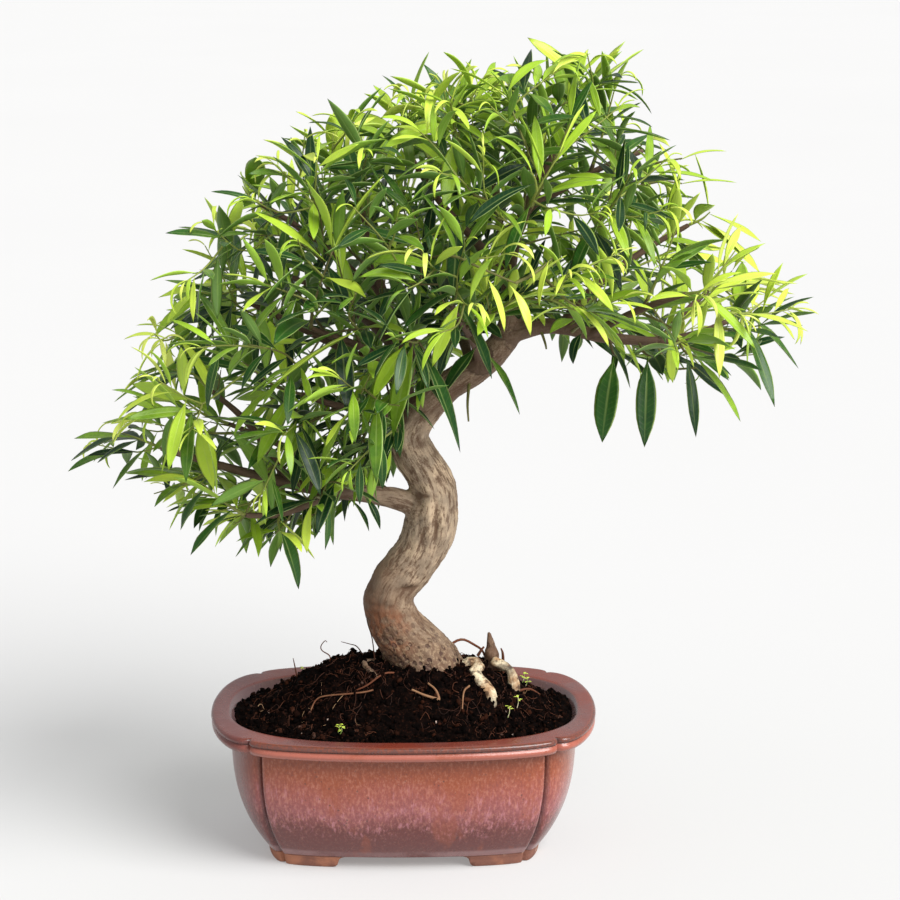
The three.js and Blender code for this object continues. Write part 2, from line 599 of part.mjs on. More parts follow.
function occupy(p, radius, owner) {
  const key = cellKey(p.x, p.y, p.z);
  if (!heldPoints.has(key)) heldPoints.set(key, []);
  heldPoints.get(key).push({ p, radius, owner });
}

// True where a point with its own radius is clear of all that other owners hold
function isFree(p, radius, owner, ownPatch) {
  for (let i = -cellReach; i <= cellReach; i++) {
    for (let j = -cellReach; j <= cellReach; j++) {
      for (let k = -cellReach; k <= cellReach; k++) {
        const key = cellKey(p.x + i * cellSize, p.y + j * cellSize, p.z + k * cellSize);
        for (const held of heldPoints.get(key) ?? []) {
          if (held.owner === owner && ownPatch === 0) continue;
          const gap = held.p.distanceTo(p);
          if (held.owner === owner && gap < ownPatch) continue;
          if (gap < held.radius + radius) return false;
        }
      }
    }
  }
  return true;
}

function occupyLine(points, radiusAt, owner) {
  let length = 0;
  for (let i = 1; i < points.length; i++) length += points[i].distanceTo(points[i - 1]);
  const steps = Math.ceil(length / lineStep);
  for (let i = 0; i <= steps; i++) occupy(along(points, i / steps), radiusAt(i / steps), owner);
}

// True inside the crown as the viewer and the sides see it
function inCrown(p) {
  const seen = p.z + frontSlope * p.y;
  const right = crownTop[crownTop.length - 1][0];
  if (p.x < crownTop[0][0] || p.x > right || p.z > crown.top) return false;
  if (seen > heightAt(crownTop, p.x) || seen < heightAt(crownUnder, p.x)) return false;
  const dx = (p.x - crown.centre[0]) / crown.reach[0];
  const dz = (p.z - crown.centre[2]) / crown.reach[2];
  const room = 1 - dx * dx - dz * dz;
  return room > 0 && Math.abs(p.y) < crown.reach[1] * Math.sqrt(room);
}

// Shoots

// A shoot starts just off the end of its spur, or off the limb's end, and runs through its points
function shootFrom(limb, at, owner, direction) {
  const points = limbPoints.get(limb.name);
  const centre = along(points, at);
  const radius = limbRadius(limb, at);
  const ends = at >= 1;
  const spurEnd = ends ? centre : centre.clone().addScaledVector(direction, radius + wood.spurLength);
  const start = spurEnd.clone().addScaledVector(direction, clearance);
  return { owner, limb, ends, centre, direction, spurEnd, start };
}

function planShoots() {
  const shoots = [];
  for (const set of setShoots) {
    const limb = limbs.find((one) => one.name === set.limb);
    const points = limbPoints.get(limb.name);
    const aside = vec(set.via).sub(along(points, set.at)).normalize();
    const direction = set.at >= 1 ? endHeading(points) : aside;
    const shoot = shootFrom(limb, set.at, shoots.length, direction);
    shoot.points = [shoot.start, vec(set.via), vec(set.tip)];
    shoot.set = set;
    shoots.push(shoot);
  }
  const taken = new Set(setShoots.filter((set) => set.at >= 1).map((set) => set.limb));
  for (const limb of limbs) {
    const places = taken.has(limb.name) ? limb.shoots : [...limb.shoots, 1];
    for (const at of places) shoots.push({ owner: shoots.length, limb, at, set: null });
  }
  return shoots;
}

// Finds a free way out for each shoot that isn't set by hand
function routeShoot(shoot) {
  const { limb, at } = shoot;
  const random = chance(growth.seed + growth.seedStep * shoot.owner);
  const points = limbPoints.get(limb.name);
  const centre = along(points, at);
  const ahead = heading(points, at);
  const outward = centre.clone().sub(vec(crown.heart)).normalize();
  let best = null;
  for (let attempt = 0; attempt < growth.tries && best === null; attempt++) {
    const stray = new THREE.Vector3(random() - 0.5, random() - 0.5, random() - 0.5);
    const wish = outward.clone().multiplyScalar(growth.outward).addScaledVector(ahead, growth.ahead)
      .addScaledVector(up, growth.upward).addScaledVector(stray, growth.stray).normalize();
    if (at < 1 && wish.dot(ahead) > growth.mostAlong) continue;
    const direction = at >= 1 ? endHeading(points) : wish;
    const length = mix(growth.length[0], growth.length[1], attempt / (growth.tries - 1));
    const route = shootFrom(limb, at, shoot.owner, direction);
    const knee = route.start.clone().addScaledVector(direction, length * growth.kneeAt);
    const tip = knee.clone().addScaledVector(wish, length * (1 - growth.kneeAt))
      .addScaledVector(up, length * growth.tipLift);
    const line = [route.start, knee, tip];
    const reach = tip.clone().addScaledVector(wish, growth.leafReach);
    let clear = inCrown(reach);
    for (let i = 2; i <= growth.looks && clear; i++) {
      const place = along(line, i / growth.looks);
      if (place.distanceTo(route.start) < growth.startFree) continue;
      clear = isFree(place, growth.room, shoot.owner, 0);
    }
    if (clear) best = { ...shoot, ...route, points: line };
  }
  return best;
}

// Leaves

// Half width of the blade over its length, as a share of the widest
const bladeShape = (t) => Math.sin(Math.PI * t ** leaf.outline[0]) ** leaf.outline[1];

// A leaf's midrib leaves the shoot along its direction and bends away evenly
function ribPoint(blade, t) {
  return blade.base.clone()
    .addScaledVector(blade.direction, blade.length * (t - 0.3 * blade.bend * t * t))
    .addScaledVector(blade.away, blade.length * blade.bend * t * t);
}

function ribHeading(blade, t) {
  return blade.direction.clone().multiplyScalar(1 - 0.6 * blade.bend * t)
    .addScaledVector(blade.away, 2 * blade.bend * t).normalize();
}

function makeBlade(base, direction, length, width, bend, roll) {
  const side = new THREE.Vector3().crossVectors(direction, up);
  if (side.lengthSq() < 0.01) side.set(1, 0, 0);
  side.normalize();
  const over = new THREE.Vector3().crossVectors(side, direction).normalize();
  const turned = side.clone().multiplyScalar(Math.cos(roll)).addScaledVector(over, Math.sin(roll));
  const away = over.clone().multiplyScalar(-1);
  return { base, direction, away, side: turned, length, width, bend };
}

// A blade between a base and a tip, with its bend taken off its aim
function bladeTo(base, tip, width, bend) {
  const aim = tip.clone().sub(base);
  const length = aim.length();
  const straight = makeBlade(base, aim.clone().normalize(), length, width, bend, 0);
  const miss = ribPoint(straight, 1).sub(tip);
  const direction = aim.clone().sub(miss);
  const blade = makeBlade(base, direction.clone().normalize(), length, width, bend, 0);
  blade.length = length * length / ribPoint(blade, 1).distanceTo(base);
  return blade;
}

function bladeClear(blade, owner) {
  const spots = [];
  const steps = Math.ceil(blade.length / leaf.spotStep);
  for (let i = 1; i <= steps; i++) {
    const t = i / steps;
    if (t < leaf.firstAt) continue;
    const centre = ribPoint(blade, t);
    const half = 0.5 * blade.width * bladeShape(t) * leaf.spotShare;
    for (const side of [-1, 0, 1]) spots.push(centre.clone().addScaledVector(blade.side, side * half));
  }
  return { spots, clear: spots.every((p) => isFree(p, leaf.room, owner, leaf.basePatch)) };
}

// A thin three-sided wedge: two edges and a keel, pointed at both ends
function bladeSolid(blade) {
  const rings = blade.fine ? leaf.fineRings : leaf.rings;
  const positions = [];
  const index = [];
  const start = blade.base.clone().addScaledVector(blade.direction, -leaf.neck * blade.stemRadius);
  positions.push(start.x, start.y, start.z);
  for (const [t, share] of rings) {
    const centre = ribPoint(blade, t);
    const ahead = ribHeading(blade, t);
    const over = new THREE.Vector3().crossVectors(blade.side, ahead).normalize();
    const half = Math.max(0.5 * blade.width * share, leaf.thinnest);
    const left = centre.clone().addScaledVector(blade.side, -half).addScaledVector(over, leaf.fold * half);
    const right = centre.clone().addScaledVector(blade.side, half).addScaledVector(over, leaf.fold * half);
    const keel = centre.clone().addScaledVector(over, -leaf.keel + leaf.fold * half);
    for (const p of [right, keel, left]) positions.push(p.x, p.y, p.z);
  }
  const tip = ribPoint(blade, 1);
  positions.push(tip.x, tip.y, tip.z);
  const end = 1 + rings.length * 3;
  for (let k = 0; k < 3; k++) {
    const m = (k + 1) % 3;
    index.push(0, 1 + m, 1 + k);
    for (let r = 0; r + 1 < rings.length; r++) {
      const a = 1 + r * 3 + k;
      const b = 1 + r * 3 + m;
      index.push(a, b, b + 3, a, b + 3, a + 3);
    }
    index.push(end, end - 3 + k, end - 3 + m);
  }
  return toSolid(asGeometry(positions, index));
}

const stemRadius = (t) => mix(wood.twigRadius, wood.tipRadius, t);

function stemSteps(shoot) {
  const short = shoot.set !== null && shoot.points[0].distanceTo(shoot.points[2]) < growth.shortShoot;
  return short ? 2 : 3;
}

// A stem is straight between its sections, and its leaves start on it
function stemPoint(shoot, t) {
  const steps = stemSteps(shoot);
  const i = Math.min(Math.floor(t * steps), steps - 1);
  return along(shoot.points, i / steps).lerp(along(shoot.points, (i + 1) / steps), t * steps - i);
}

// Places one leaf after another round a shoot, at the golden angle, and drops what finds no room
function leavesOf(shoot) {
  const random = chance(leaf.seed + leaf.seedStep * shoot.owner);
  const blades = [];
  const keep = (blade, spots) => {
    blades.push(blade);
    for (const p of spots) occupy(p, leaf.room, shoot.owner);
  };
  const sets = shoot.set === null ? [] : shoot.set.leaves;
  for (const set of sets) {
    const blade = bladeTo(stemPoint(shoot, set.at), vec(set.tip), set.width, leaf.setBend);
    blade.fine = true;
    blade.stemRadius = stemRadius(set.at);
    keep(blade, bladeClear(blade, shoot.owner).spots);
  }
  const count = shoot.set === null ? crown.leavesPerShoot : shoot.set.fill;
  const firstTurn = random() * Math.PI * 2;
  for (let k = 0; k < count; k++) {
    const share = count > 1 ? k / (count - 1) : 1;
    const t = mix(leaf.firstAt, 1, share);
    const base = stemPoint(shoot, t);
    const ahead = heading(shoot.points, t);
    const [side, over] = frameOf(ahead);
    const size = mix(...leaf.length, share) * mix(...leaf.sizeSpread, random());
    for (let attempt = 0; attempt < leaf.tries; attempt++) {
      const turn = firstTurn + k * goldenAngle + (attempt % 2 === 0 ? 1 : -1) * attempt * leaf.tryTurn;
      const lean = mix(...leaf.lean, share) + (random() - 0.5) * leaf.leanSpread;
      const radial = side.clone().multiplyScalar(Math.cos(turn)).addScaledVector(over, Math.sin(turn));
      const direction = ahead.clone().multiplyScalar(Math.cos(lean)).addScaledVector(radial, Math.sin(lean))
        .addScaledVector(up, leaf.lift).normalize();
      const length = size * mix(1, leaf.shorter, attempt / (leaf.tries - 1));
      const bend = mix(...leaf.bend, random());
      const roll = (random() - 0.5) * leaf.rollSpread;
      const blade = makeBlade(base, direction, length, length * leaf.widthRatio, bend, roll);
      if (!inCrown(ribPoint(blade, 1)) || !inCrown(ribPoint(blade, 0.6))) continue;
      const room = bladeClear(blade, shoot.owner);
      if (!room.clear) continue;
      blade.stemRadius = stemRadius(t);
      keep(blade, room.spots);
      break;
    }
  }
  return blades;
}

function shootSolid(shoot) {
  const steps = stemSteps(shoot);
  const places = Array.from({ length: steps + 1 }, (_, i) => i / steps);
  const points = places.map((t) => along(shoot.points, t));
  return toSolid(taper(points, places.map(stemRadius), wood.twigSides, shoot.direction));
}

// The whole tree

const owners = { trunk: -1, limb: -2 };

function growTree() {
  const ringRadius = (t) => trunkRings[Math.round(t * (trunkRings.length - 1))][3];
  occupyLine(trunkRings.map(vec), (t) => ringRadius(t) + wood.barkRoom, owners.trunk);
  for (const limb of limbs) {
    occupyLine(limbPoints.get(limb.name), (t) => limbRadius(limb, t) + wood.barkRoom, owners.limb);
  }
  const planned = planShoots();
  for (const shoot of planned) {
    if (shoot.set !== null) occupyLine(shoot.points, () => growth.stemRoom, shoot.owner);
  }
  const shoots = [];
  for (const shoot of planned) {
    const routed = shoot.set === null ? routeShoot(shoot) : shoot;
    if (routed === null) continue;
    if (shoot.set === null) occupyLine(routed.points, () => growth.stemRoom, shoot.owner);
    shoots.push(routed);
  }
  const handSet = shoots.filter((shoot) => shoot.set !== null);
  const byRule = shoots.filter((shoot) => shoot.set === null);
  for (const shoot of [...handSet, ...byRule]) shoot.blades = leavesOf(shoot);
  return shoots;
}

function makeWood(shoots) {
  const solids = [trunkSolid(0), ...limbs.map(limbSolid), ...roots.map((root) => rootSolid(root, 0))];
  for (const shoot of shoots) {
    if (shoot.ends) continue;
    const points = [shoot.centre, shoot.spurEnd];
    solids.push(toSolid(taper(points, [wood.twigRadius, wood.twigRadius], wood.twigSides)));
  }
  return joinAll(solids);
}

// A leaf that still reaches into another piece is left off
function fuseShoots(shoots, woodSolid) {
  const bodies = [{ owner: owners.trunk, solid: woodSolid, box: woodSolid.boundingBox() }];
  const touches = (solid, owner) => {
    const box = solid.boundingBox();
    return bodies.some((body) => {
      if (body.owner === owner) return false;
      for (let k = 0; k < 3; k++) {
        if (box.min[k] > body.box.max[k] || box.max[k] < body.box.min[k]) return false;
      }
      return !solid.intersect(body.solid).isEmpty();
    });
  };
  for (const shoot of shoots) {
    shoot.stem = shootSolid(shoot);
    bodies.push({ owner: shoot.owner, solid: shoot.stem, box: shoot.stem.boundingBox() });
  }
  const fused = [];
  for (const shoot of shoots) {
    const kept = [];
    for (const blade of shoot.blades) {
      const solid = bladeSolid(blade);
      if (touches(solid, shoot.owner)) continue;
      kept.push(solid);
      bodies.push({ owner: shoot.owner, solid, box: solid.boundingBox() });
    }
    fused.push(joinAll([shoot.stem, ...kept]));
  }
  return fused;
}

// The group

const finishes = {
  pot: new THREE.MeshStandardMaterial({ color: 0x8a4a38, roughness: 0.32, metalness: 0 }),
  screen: new THREE.MeshStandardMaterial({ color: 0x1c1c1c, roughness: 0.6, metalness: 0 }),
  soil: new THREE.MeshStandardMaterial({ color: 0x1f1512, roughness: 0.95, metalness: 0 }),
  wood: new THREE.MeshStandardMaterial({ color: 0x9a8672, roughness: 0.8, metalness: 0 }),
  leaf: new THREE.MeshStandardMaterial({ color: 0x4f8a2a, roughness: 0.4, metalness: 0 }),
};

const group = new THREE.Group();
group.position.set(potCentre[0], potCentre[1], 0);

function addPiece(name, solid, material) {
  const mesh = new THREE.Mesh(toGeometry(solid), material);
  mesh.name = name;
  group.add(mesh);
}

const shoots = growTree();
const woodSolid = makeWood(shoots);
const rootRoom = clearance + 0.1;
const hollows = [trunkSolid(rootRoom), ...roots.map((root) => rootSolid(root, rootRoom))];

addPiece('pot', makePot(), finishes.pot);
addPiece('drain_screen_left', makeScreen(-pot.drainX), finishes.screen);
addPiece('drain_screen_right', makeScreen(pot.drainX), finishes.screen);
addPiece('soil', makeSoil(hollows), finishes.soil);
addPiece('trunk', woodSolid, finishes.wood);
fuseShoots(shoots, woodSolid).forEach((solid, i) => {
  addPiece(`shoot_${String(i + 1).padStart(2, '0')}`, solid, finishes.leaf);
});

export default group;
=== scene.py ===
"""Willow leaf ficus bonsai in its lobed, glazed pot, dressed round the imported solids.

Places are millimetres in the pot's own frame: the pot stands on z = 0 with its middle at x = y = 0 and its
front towards -y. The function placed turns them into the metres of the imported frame.
"""

import logging
import math
from collections.abc import Callable, Iterable, Iterator, Sequence
from dataclasses import dataclass, field
from enum import Enum

import bpy
import numpy as np
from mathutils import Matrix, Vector, noise
from mathutils.kdtree import KDTree


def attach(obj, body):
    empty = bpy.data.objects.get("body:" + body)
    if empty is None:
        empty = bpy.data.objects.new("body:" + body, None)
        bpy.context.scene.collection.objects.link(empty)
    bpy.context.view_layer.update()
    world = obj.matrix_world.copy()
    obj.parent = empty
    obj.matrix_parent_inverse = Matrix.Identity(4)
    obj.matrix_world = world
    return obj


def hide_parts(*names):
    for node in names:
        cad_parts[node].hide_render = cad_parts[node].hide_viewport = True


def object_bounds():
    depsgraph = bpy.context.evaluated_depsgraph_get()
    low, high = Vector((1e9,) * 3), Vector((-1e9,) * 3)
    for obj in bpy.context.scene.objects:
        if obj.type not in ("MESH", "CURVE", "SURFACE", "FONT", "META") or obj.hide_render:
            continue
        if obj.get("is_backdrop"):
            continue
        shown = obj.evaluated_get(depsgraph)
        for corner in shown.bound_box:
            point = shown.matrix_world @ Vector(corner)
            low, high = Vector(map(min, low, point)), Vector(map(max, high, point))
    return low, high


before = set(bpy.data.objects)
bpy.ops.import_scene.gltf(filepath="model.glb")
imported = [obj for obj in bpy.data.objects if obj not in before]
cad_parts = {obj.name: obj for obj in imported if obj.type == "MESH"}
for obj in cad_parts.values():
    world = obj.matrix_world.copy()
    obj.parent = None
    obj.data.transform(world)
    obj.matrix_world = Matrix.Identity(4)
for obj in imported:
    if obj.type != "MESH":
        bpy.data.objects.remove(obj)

LOG = logging.getLogger("bonsai")
SOLID_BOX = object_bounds()

MM = 0.001
POT_PLACE = np.array([-19.5, 0.0, 0.0])
UP = np.array([0.0, 0.0, 1.0])
TO_EYE = np.array([0.0, -0.976, 0.218])
GOLDEN_ANGLE = math.pi * (3 - math.sqrt(5))

# Short names for the types in the hints

Colour = tuple[float, float, float]
Place = tuple[float, float, float]
Pair = tuple[float, float]
Array = np.ndarray
Line = Sequence[np.ndarray]
Piece = bpy.types.Object
Material = bpy.types.Material
Socket = bpy.types.NodeSocket
Tree = bpy.types.NodeTree


# Small reckoning helpers


def vec(*place: float) -> Array:
    """A point or direction as an array."""
    return np.array(place, float)


def mix(start: float, end: float, share: float) -> float:
    """The value that lies a share of the way from start to end."""
    return start + (end - start) * share


def unit(direction: Array) -> Array:
    """The direction at length one."""
    return direction / np.linalg.norm(direction)


def placed(points: Array) -> Array:
    """Points of the pot's frame in millimetres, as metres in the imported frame."""
    return (np.asarray(points, float) + POT_PLACE) * MM


def chance(seed: int) -> Callable[[], float]:
    """A repeatable stream of numbers between 0 and 1, the same as the one that grew the solids.

    Args:
        seed: any whole number.

    Returns:
        A function that gives the next number each time.
    """
    mask = 0xFFFFFFFF
    state = seed & mask

    def draw() -> float:
        """Draws the next number.

        Returns:
            A number from 0 to 1.
        """
        nonlocal state
        state = (state + 0x6D2B79F5) & mask
        t = ((state ^ (state >> 15)) * (1 | state)) & mask
        t = ((t + ((t ^ (t >> 7)) * (61 | t) & mask)) & mask) ^ t
        return ((t ^ (t >> 14)) & mask) / 4294967296

    return draw


def height_at(outline: Sequence[Sequence[float]], x: float) -> float:
    """Height of an outline, given as (x, height) points, at a sideways place."""
    places, heights = zip(*outline)
    return float(np.interp(x, places, heights))


def along(points: Line, t: float) -> Array:
    """The point at a share of the smooth line through the given points.

    Args:
        points: at least two points of the line, in order.
        t: share of the line, from 0 to 1.

    Returns:
        The point.
    """
    last = len(points) - 1
    place = min(max(t, 0.0), 1.0) * last
    i = min(math.floor(place), last - 1)
    u = place - i
    b, c = points[i], points[i + 1]
    a = points[i - 1] if i > 0 else 2 * b - c
    d = points[i + 2] if i < last - 1 else 2 * c - b
    turn = (2 * a - 5 * b + 4 * c - d) * u * u + (3 * b - a - 3 * c + d) * u * u * u
    return 0.5 * (2 * b + (c - a) * u + turn)


def heading(points: Line, t: float) -> Array:
    """The way the smooth line runs at a share t."""
    step = 0.01
    return unit(along(points, min(t + step, 1)) - along(points, max(t - step, 0)))


def end_heading(points: Line) -> Array:
    """The way the last stretch of a line points."""
    return unit(points[-1] - points[-2])


def length_of(points: Line) -> float:
    """Length of the straight stretches between the given points."""
    return sum(float(np.linalg.norm(b - a)) for a, b in zip(points, points[1:]))


def frame_of(direction: Array) -> tuple[Array, Array]:
    """Two directions square to a given one and to each other.

    Args:
        direction: the given one, at length one.

    Returns:
        A side and the direction over it.
    """
    helper = vec(0, 1, 0) if abs(direction[2]) > 0.9 else UP
    side = unit(np.cross(helper, direction))
    return side, np.cross(direction, side)


def frames_along(points: Line) -> Iterator[tuple[Array, Array, Array]]:
    """Directions at each point of a line, carried on from one to the next without a twist.

    Args:
        points: the line's points in order.

    Returns:
        For each point a side, the direction over it, and the way ahead.
    """
    side = None
    for i in range(len(points)):
        ahead = unit(points[min(i + 1, len(points) - 1)] - points[max(i - 1, 0)])
        side = frame_of(ahead)[0] if side is None else side
        side = unit(side - ahead * np.dot(side, ahead))
        yield side, np.cross(ahead, side), ahead


# Meshes from arrays


def mesh_piece(name: str, points: Array, faces: Iterable[Sequence[int]], smooth: bool = True,
               edges: Iterable[Sequence[int]] = ()) -> Piece:
    """Makes a mesh object at the origin from points in the pot's frame.

    Args:
        name: the piece's name.
        points: millimetre places, one row each.
        faces: corner numbers of each face.
        smooth: whether the faces are shaded smooth.
        edges: loose edges, for lines.

    Returns:
        The new object, linked to the scene.
    """
    mesh = bpy.data.meshes.new(name)
    mesh.from_pydata(placed(points).tolist(), [tuple(e) for e in edges], [tuple(f) for f in faces])
    mesh.update()
    if smooth and len(mesh.polygons):
        mesh.polygons.foreach_set("use_smooth", np.ones(len(mesh.polygons), bool))
    made = bpy.data.objects.new(name, mesh)
    bpy.context.scene.collection.objects.link(made)
    return made


def store(piece: Piece, name: str, values: Array) -> None:
    """Keeps a number or a vector for each point of a piece's mesh.

    Args:
        piece: the piece.
        name: the name that materials and node trees read it by.
        values: one number, or one row of three, for each point.
    """
    values = np.asarray(values, np.float32)
    kind, key = ("FLOAT", "value") if values.ndim == 1 else ("FLOAT_VECTOR", "vector")
    attribute = piece.data.attributes.new(name, kind, "POINT")
    attribute.data.foreach_set(key, values.ravel())


def ring_faces(rings: int, count: int) -> list[tuple[int, ...]]:
    """Four-sided faces between rings that close on themselves.

    Args:
        rings: how many rings there are.
        count: how many points each of them has.

    Returns:
        The corner numbers of each face.
    """
    faces = []
    for first in range(0, (rings - 1) * count, count):
        for i in range(count):
            a, b = first + i, first + (i + 1) % count
            faces.append((a, b, b + count, a + count))
    return faces


def closed_loft(rings: Line) -> tuple[Array, list[tuple[int, ...]]]:
    """A closed body from rings of points, with a fan on the first and the last ring.

    Args:
        rings: arrays of equal length, each anticlockwise seen from the end that they lead to.

    Returns:
        The points and the faces.
    """
    count = len(rings[0])
    points = np.vstack([*rings, rings[0].mean(axis=0), rings[-1].mean(axis=0)])
    faces = ring_faces(len(rings), count)
    first, last, top = len(points) - 2, len(points) - 1, (len(rings) - 1) * count
    for i in range(count):
        j = (i + 1) % count
        faces.append((first, j, i))
        faces.append((last, top + i, top + j))
    return points, faces


def tube(points: Line, radii: Sequence[float], sides: int) -> tuple[Array, list]:
    """A closed round body that follows a line.

    Args:
        points: the line's points in order.
        radii: the body's radius at each.
        sides: how many sides it has.

    Returns:
        The points and the faces.
    """
    turns = np.arange(sides) / sides * 2 * math.pi
    across, up = np.cos(turns)[:, None], np.sin(turns)[:, None]
    return closed_loft([place + radius * (across * side + up * over)
                        for place, radius, (side, over, _) in zip(points, radii, frames_along(points))])


def joined(parts: Iterable[tuple[Array, list]]) -> tuple[Array, list]:
    """Several meshes as one.

    Args:
        parts: the points and the faces of each mesh.

    Returns:
        All the points and all the faces.
    """
    points, faces, start = [], [], 0
    for part_points, part_faces in parts:
        points.append(part_points)
        faces += [tuple(corner + start for corner in face) for face in part_faces]
        start += len(part_points)
    return np.vstack(points), faces


def rough(points: Array, scale: float, octaves: int = 3) -> Array:
    """Smooth random heights, about -1 to 1, at points; scale is in bumps per millimetre."""
    return np.array([noise.fractal(Vector(p) * scale, 1.0, 2.0, octaves) for p in points])


def evaluated_mesh(piece: Piece) -> None:
    """Replaces a piece's mesh by what its modifiers make of it, and removes them.

    Args:
        piece: the piece.
    """
    depsgraph = bpy.context.evaluated_depsgraph_get()
    mesh = bpy.data.meshes.new_from_object(
        piece.evaluated_get(depsgraph), preserve_all_data_layers=True, depsgraph=depsgraph)
    piece.modifiers.clear()
    old, piece.data = piece.data, mesh
    bpy.data.meshes.remove(old)
    mesh.name = piece.name


# Node trees


def plug(tree: Tree, socket: Socket, value: object) -> None:
    """Links a term or a socket to an input, or sets the input to a plain value.

    Args:
        tree: the tree that both belong to.
        socket: the input.
        value: a term, a socket or a plain value.
    """
    if isinstance(value, Term):
        value = value.socket
    if isinstance(value, Socket):
        tree.links.new(value, socket)
    elif socket.type == "RGBA" and len(value) == 3:
        socket.default_value = (*value, 1.0)
    else:
        socket.default_value = value


class Term:
    """A number or a vector in a node tree, reckoned with like a plain one."""

    kind = "ShaderNodeMath"

    def __init__(self, tree: Tree, socket: Socket) -> None:
        """Notes the tree and the socket that gives the value."""
        self.tree = tree
        self.socket = socket

    def reckon(self, operation: str, *others: object) -> "Term":
        """One step of arithmetic with this term first.

        Args:
            operation: Blender's name of the step.
            *others: the other terms or values.

        Returns:
            The result.
        """
        node = self.tree.nodes.new(self.kind)
        node.operation = operation
        for socket, value in zip(node.inputs, (self, *others)):
            plug(self.tree, socket, value)
        return type(self)(self.tree, node.outputs[0])

    def __add__(self, other: object) -> "Term":
        """This plus the other."""
        return self.reckon("ADD", other)

    def __sub__(self, other: object) -> "Term":
        """This less the other."""
        return self.reckon("SUBTRACT", other)


class Number(Term):
    """A number in a node tree."""

    def __mul__(self, other: object) -> "Number":
        """This times the other."""
        return self.reckon("MULTIPLY", other)

    def __truediv__(self, other: object) -> "Number":
        """This divided by the other."""
        return self.reckon("DIVIDE", other)

    def __pow__(self, other: object) -> "Number":
        """This to a power."""
        return self.reckon("POWER", other)

    def sine(self) -> "Number":
        """Its sine."""
        return self.reckon("SINE")

    def size(self) -> "Number":
        """Its value without a sign."""
        return self.reckon("ABSOLUTE")

    def least(self, other: object) -> "Number":
        """The smaller of the two."""
        return self.reckon("MINIMUM", other)

    def most(self, other: object) -> "Number":
        """The larger of the two."""
        return self.reckon("MAXIMUM", other)

    def ramp(self, low: float, high: float, start: float = 0.0, end: float = 1.0) -> "Number":
        """A smooth rise or fall between two levels of this number.

        Args:
            low: the level up to which it gives start.
            high: the level from which it gives end.
            start: the result at the low level.
            end: the result at the high level.

        Returns:
            The result.
        """
        node = self.tree.nodes.new("ShaderNodeMapRange")
        node.interpolation_type = "SMOOTHSTEP"
        for name, value in (("Value", self), ("From Min", low), ("From Max", high),
                            ("To Min", start), ("To Max", end)):
            plug(self.tree, node.inputs[name], value)
        return Number(self.tree, node.outputs["Result"])


class Arrow(Term):
    """A vector in a node tree."""

    kind = "ShaderNodeVectorMath"

    def __mul__(self, other: object) -> "Arrow":
        """This stretched by a number, or by a vector along each axis.

        Args:
            other: the number or the vector.

        Returns:
            The result.
        """
        if isinstance(other, (Arrow, tuple)):
            return self.reckon("MULTIPLY", other)
        node = self.tree.nodes.new(self.kind)
        node.operation = "SCALE"
        plug(self.tree, node.inputs[0], self)
        plug(self.tree, node.inputs["Scale"], other)
        return Arrow(self.tree, node.outputs[0])

    def cross(self, other: "Arrow") -> "Arrow":
        """The direction square to both."""
        return self.reckon("CROSS_PRODUCT", other)

    def unit(self) -> "Arrow":
        """The vector at length one."""
        return self.reckon("NORMALIZE")

    def parts(self) -> tuple[Number, Number, Number]:
        """Its three numbers.

        Returns:
            The numbers along x, y and z.
        """
        node = self.tree.nodes.new("ShaderNodeSeparateXYZ")
        plug(self.tree, node.inputs[0], self)
        return tuple(Number(self.tree, socket) for socket in node.outputs)


class Workshop:
    """Puts nodes into the tree that it holds."""

    tree: Tree

    def node(self, kind: str, inputs: dict | None = None, **settings: object) -> bpy.types.Node:
        """Adds a node, makes its settings and fills its inputs.

        Args:
            kind: Blender's name of the node type.
            inputs: input names or numbers, with a term, a socket or a plain value for each.
            **settings: the node's own settings.

        Returns:
            The node.
        """
        node = self.tree.nodes.new(kind)
        for key, value in settings.items():
            setattr(node, key, value)
        for key, value in (inputs or {}).items():
            plug(self.tree, node.inputs[key], value)
        return node


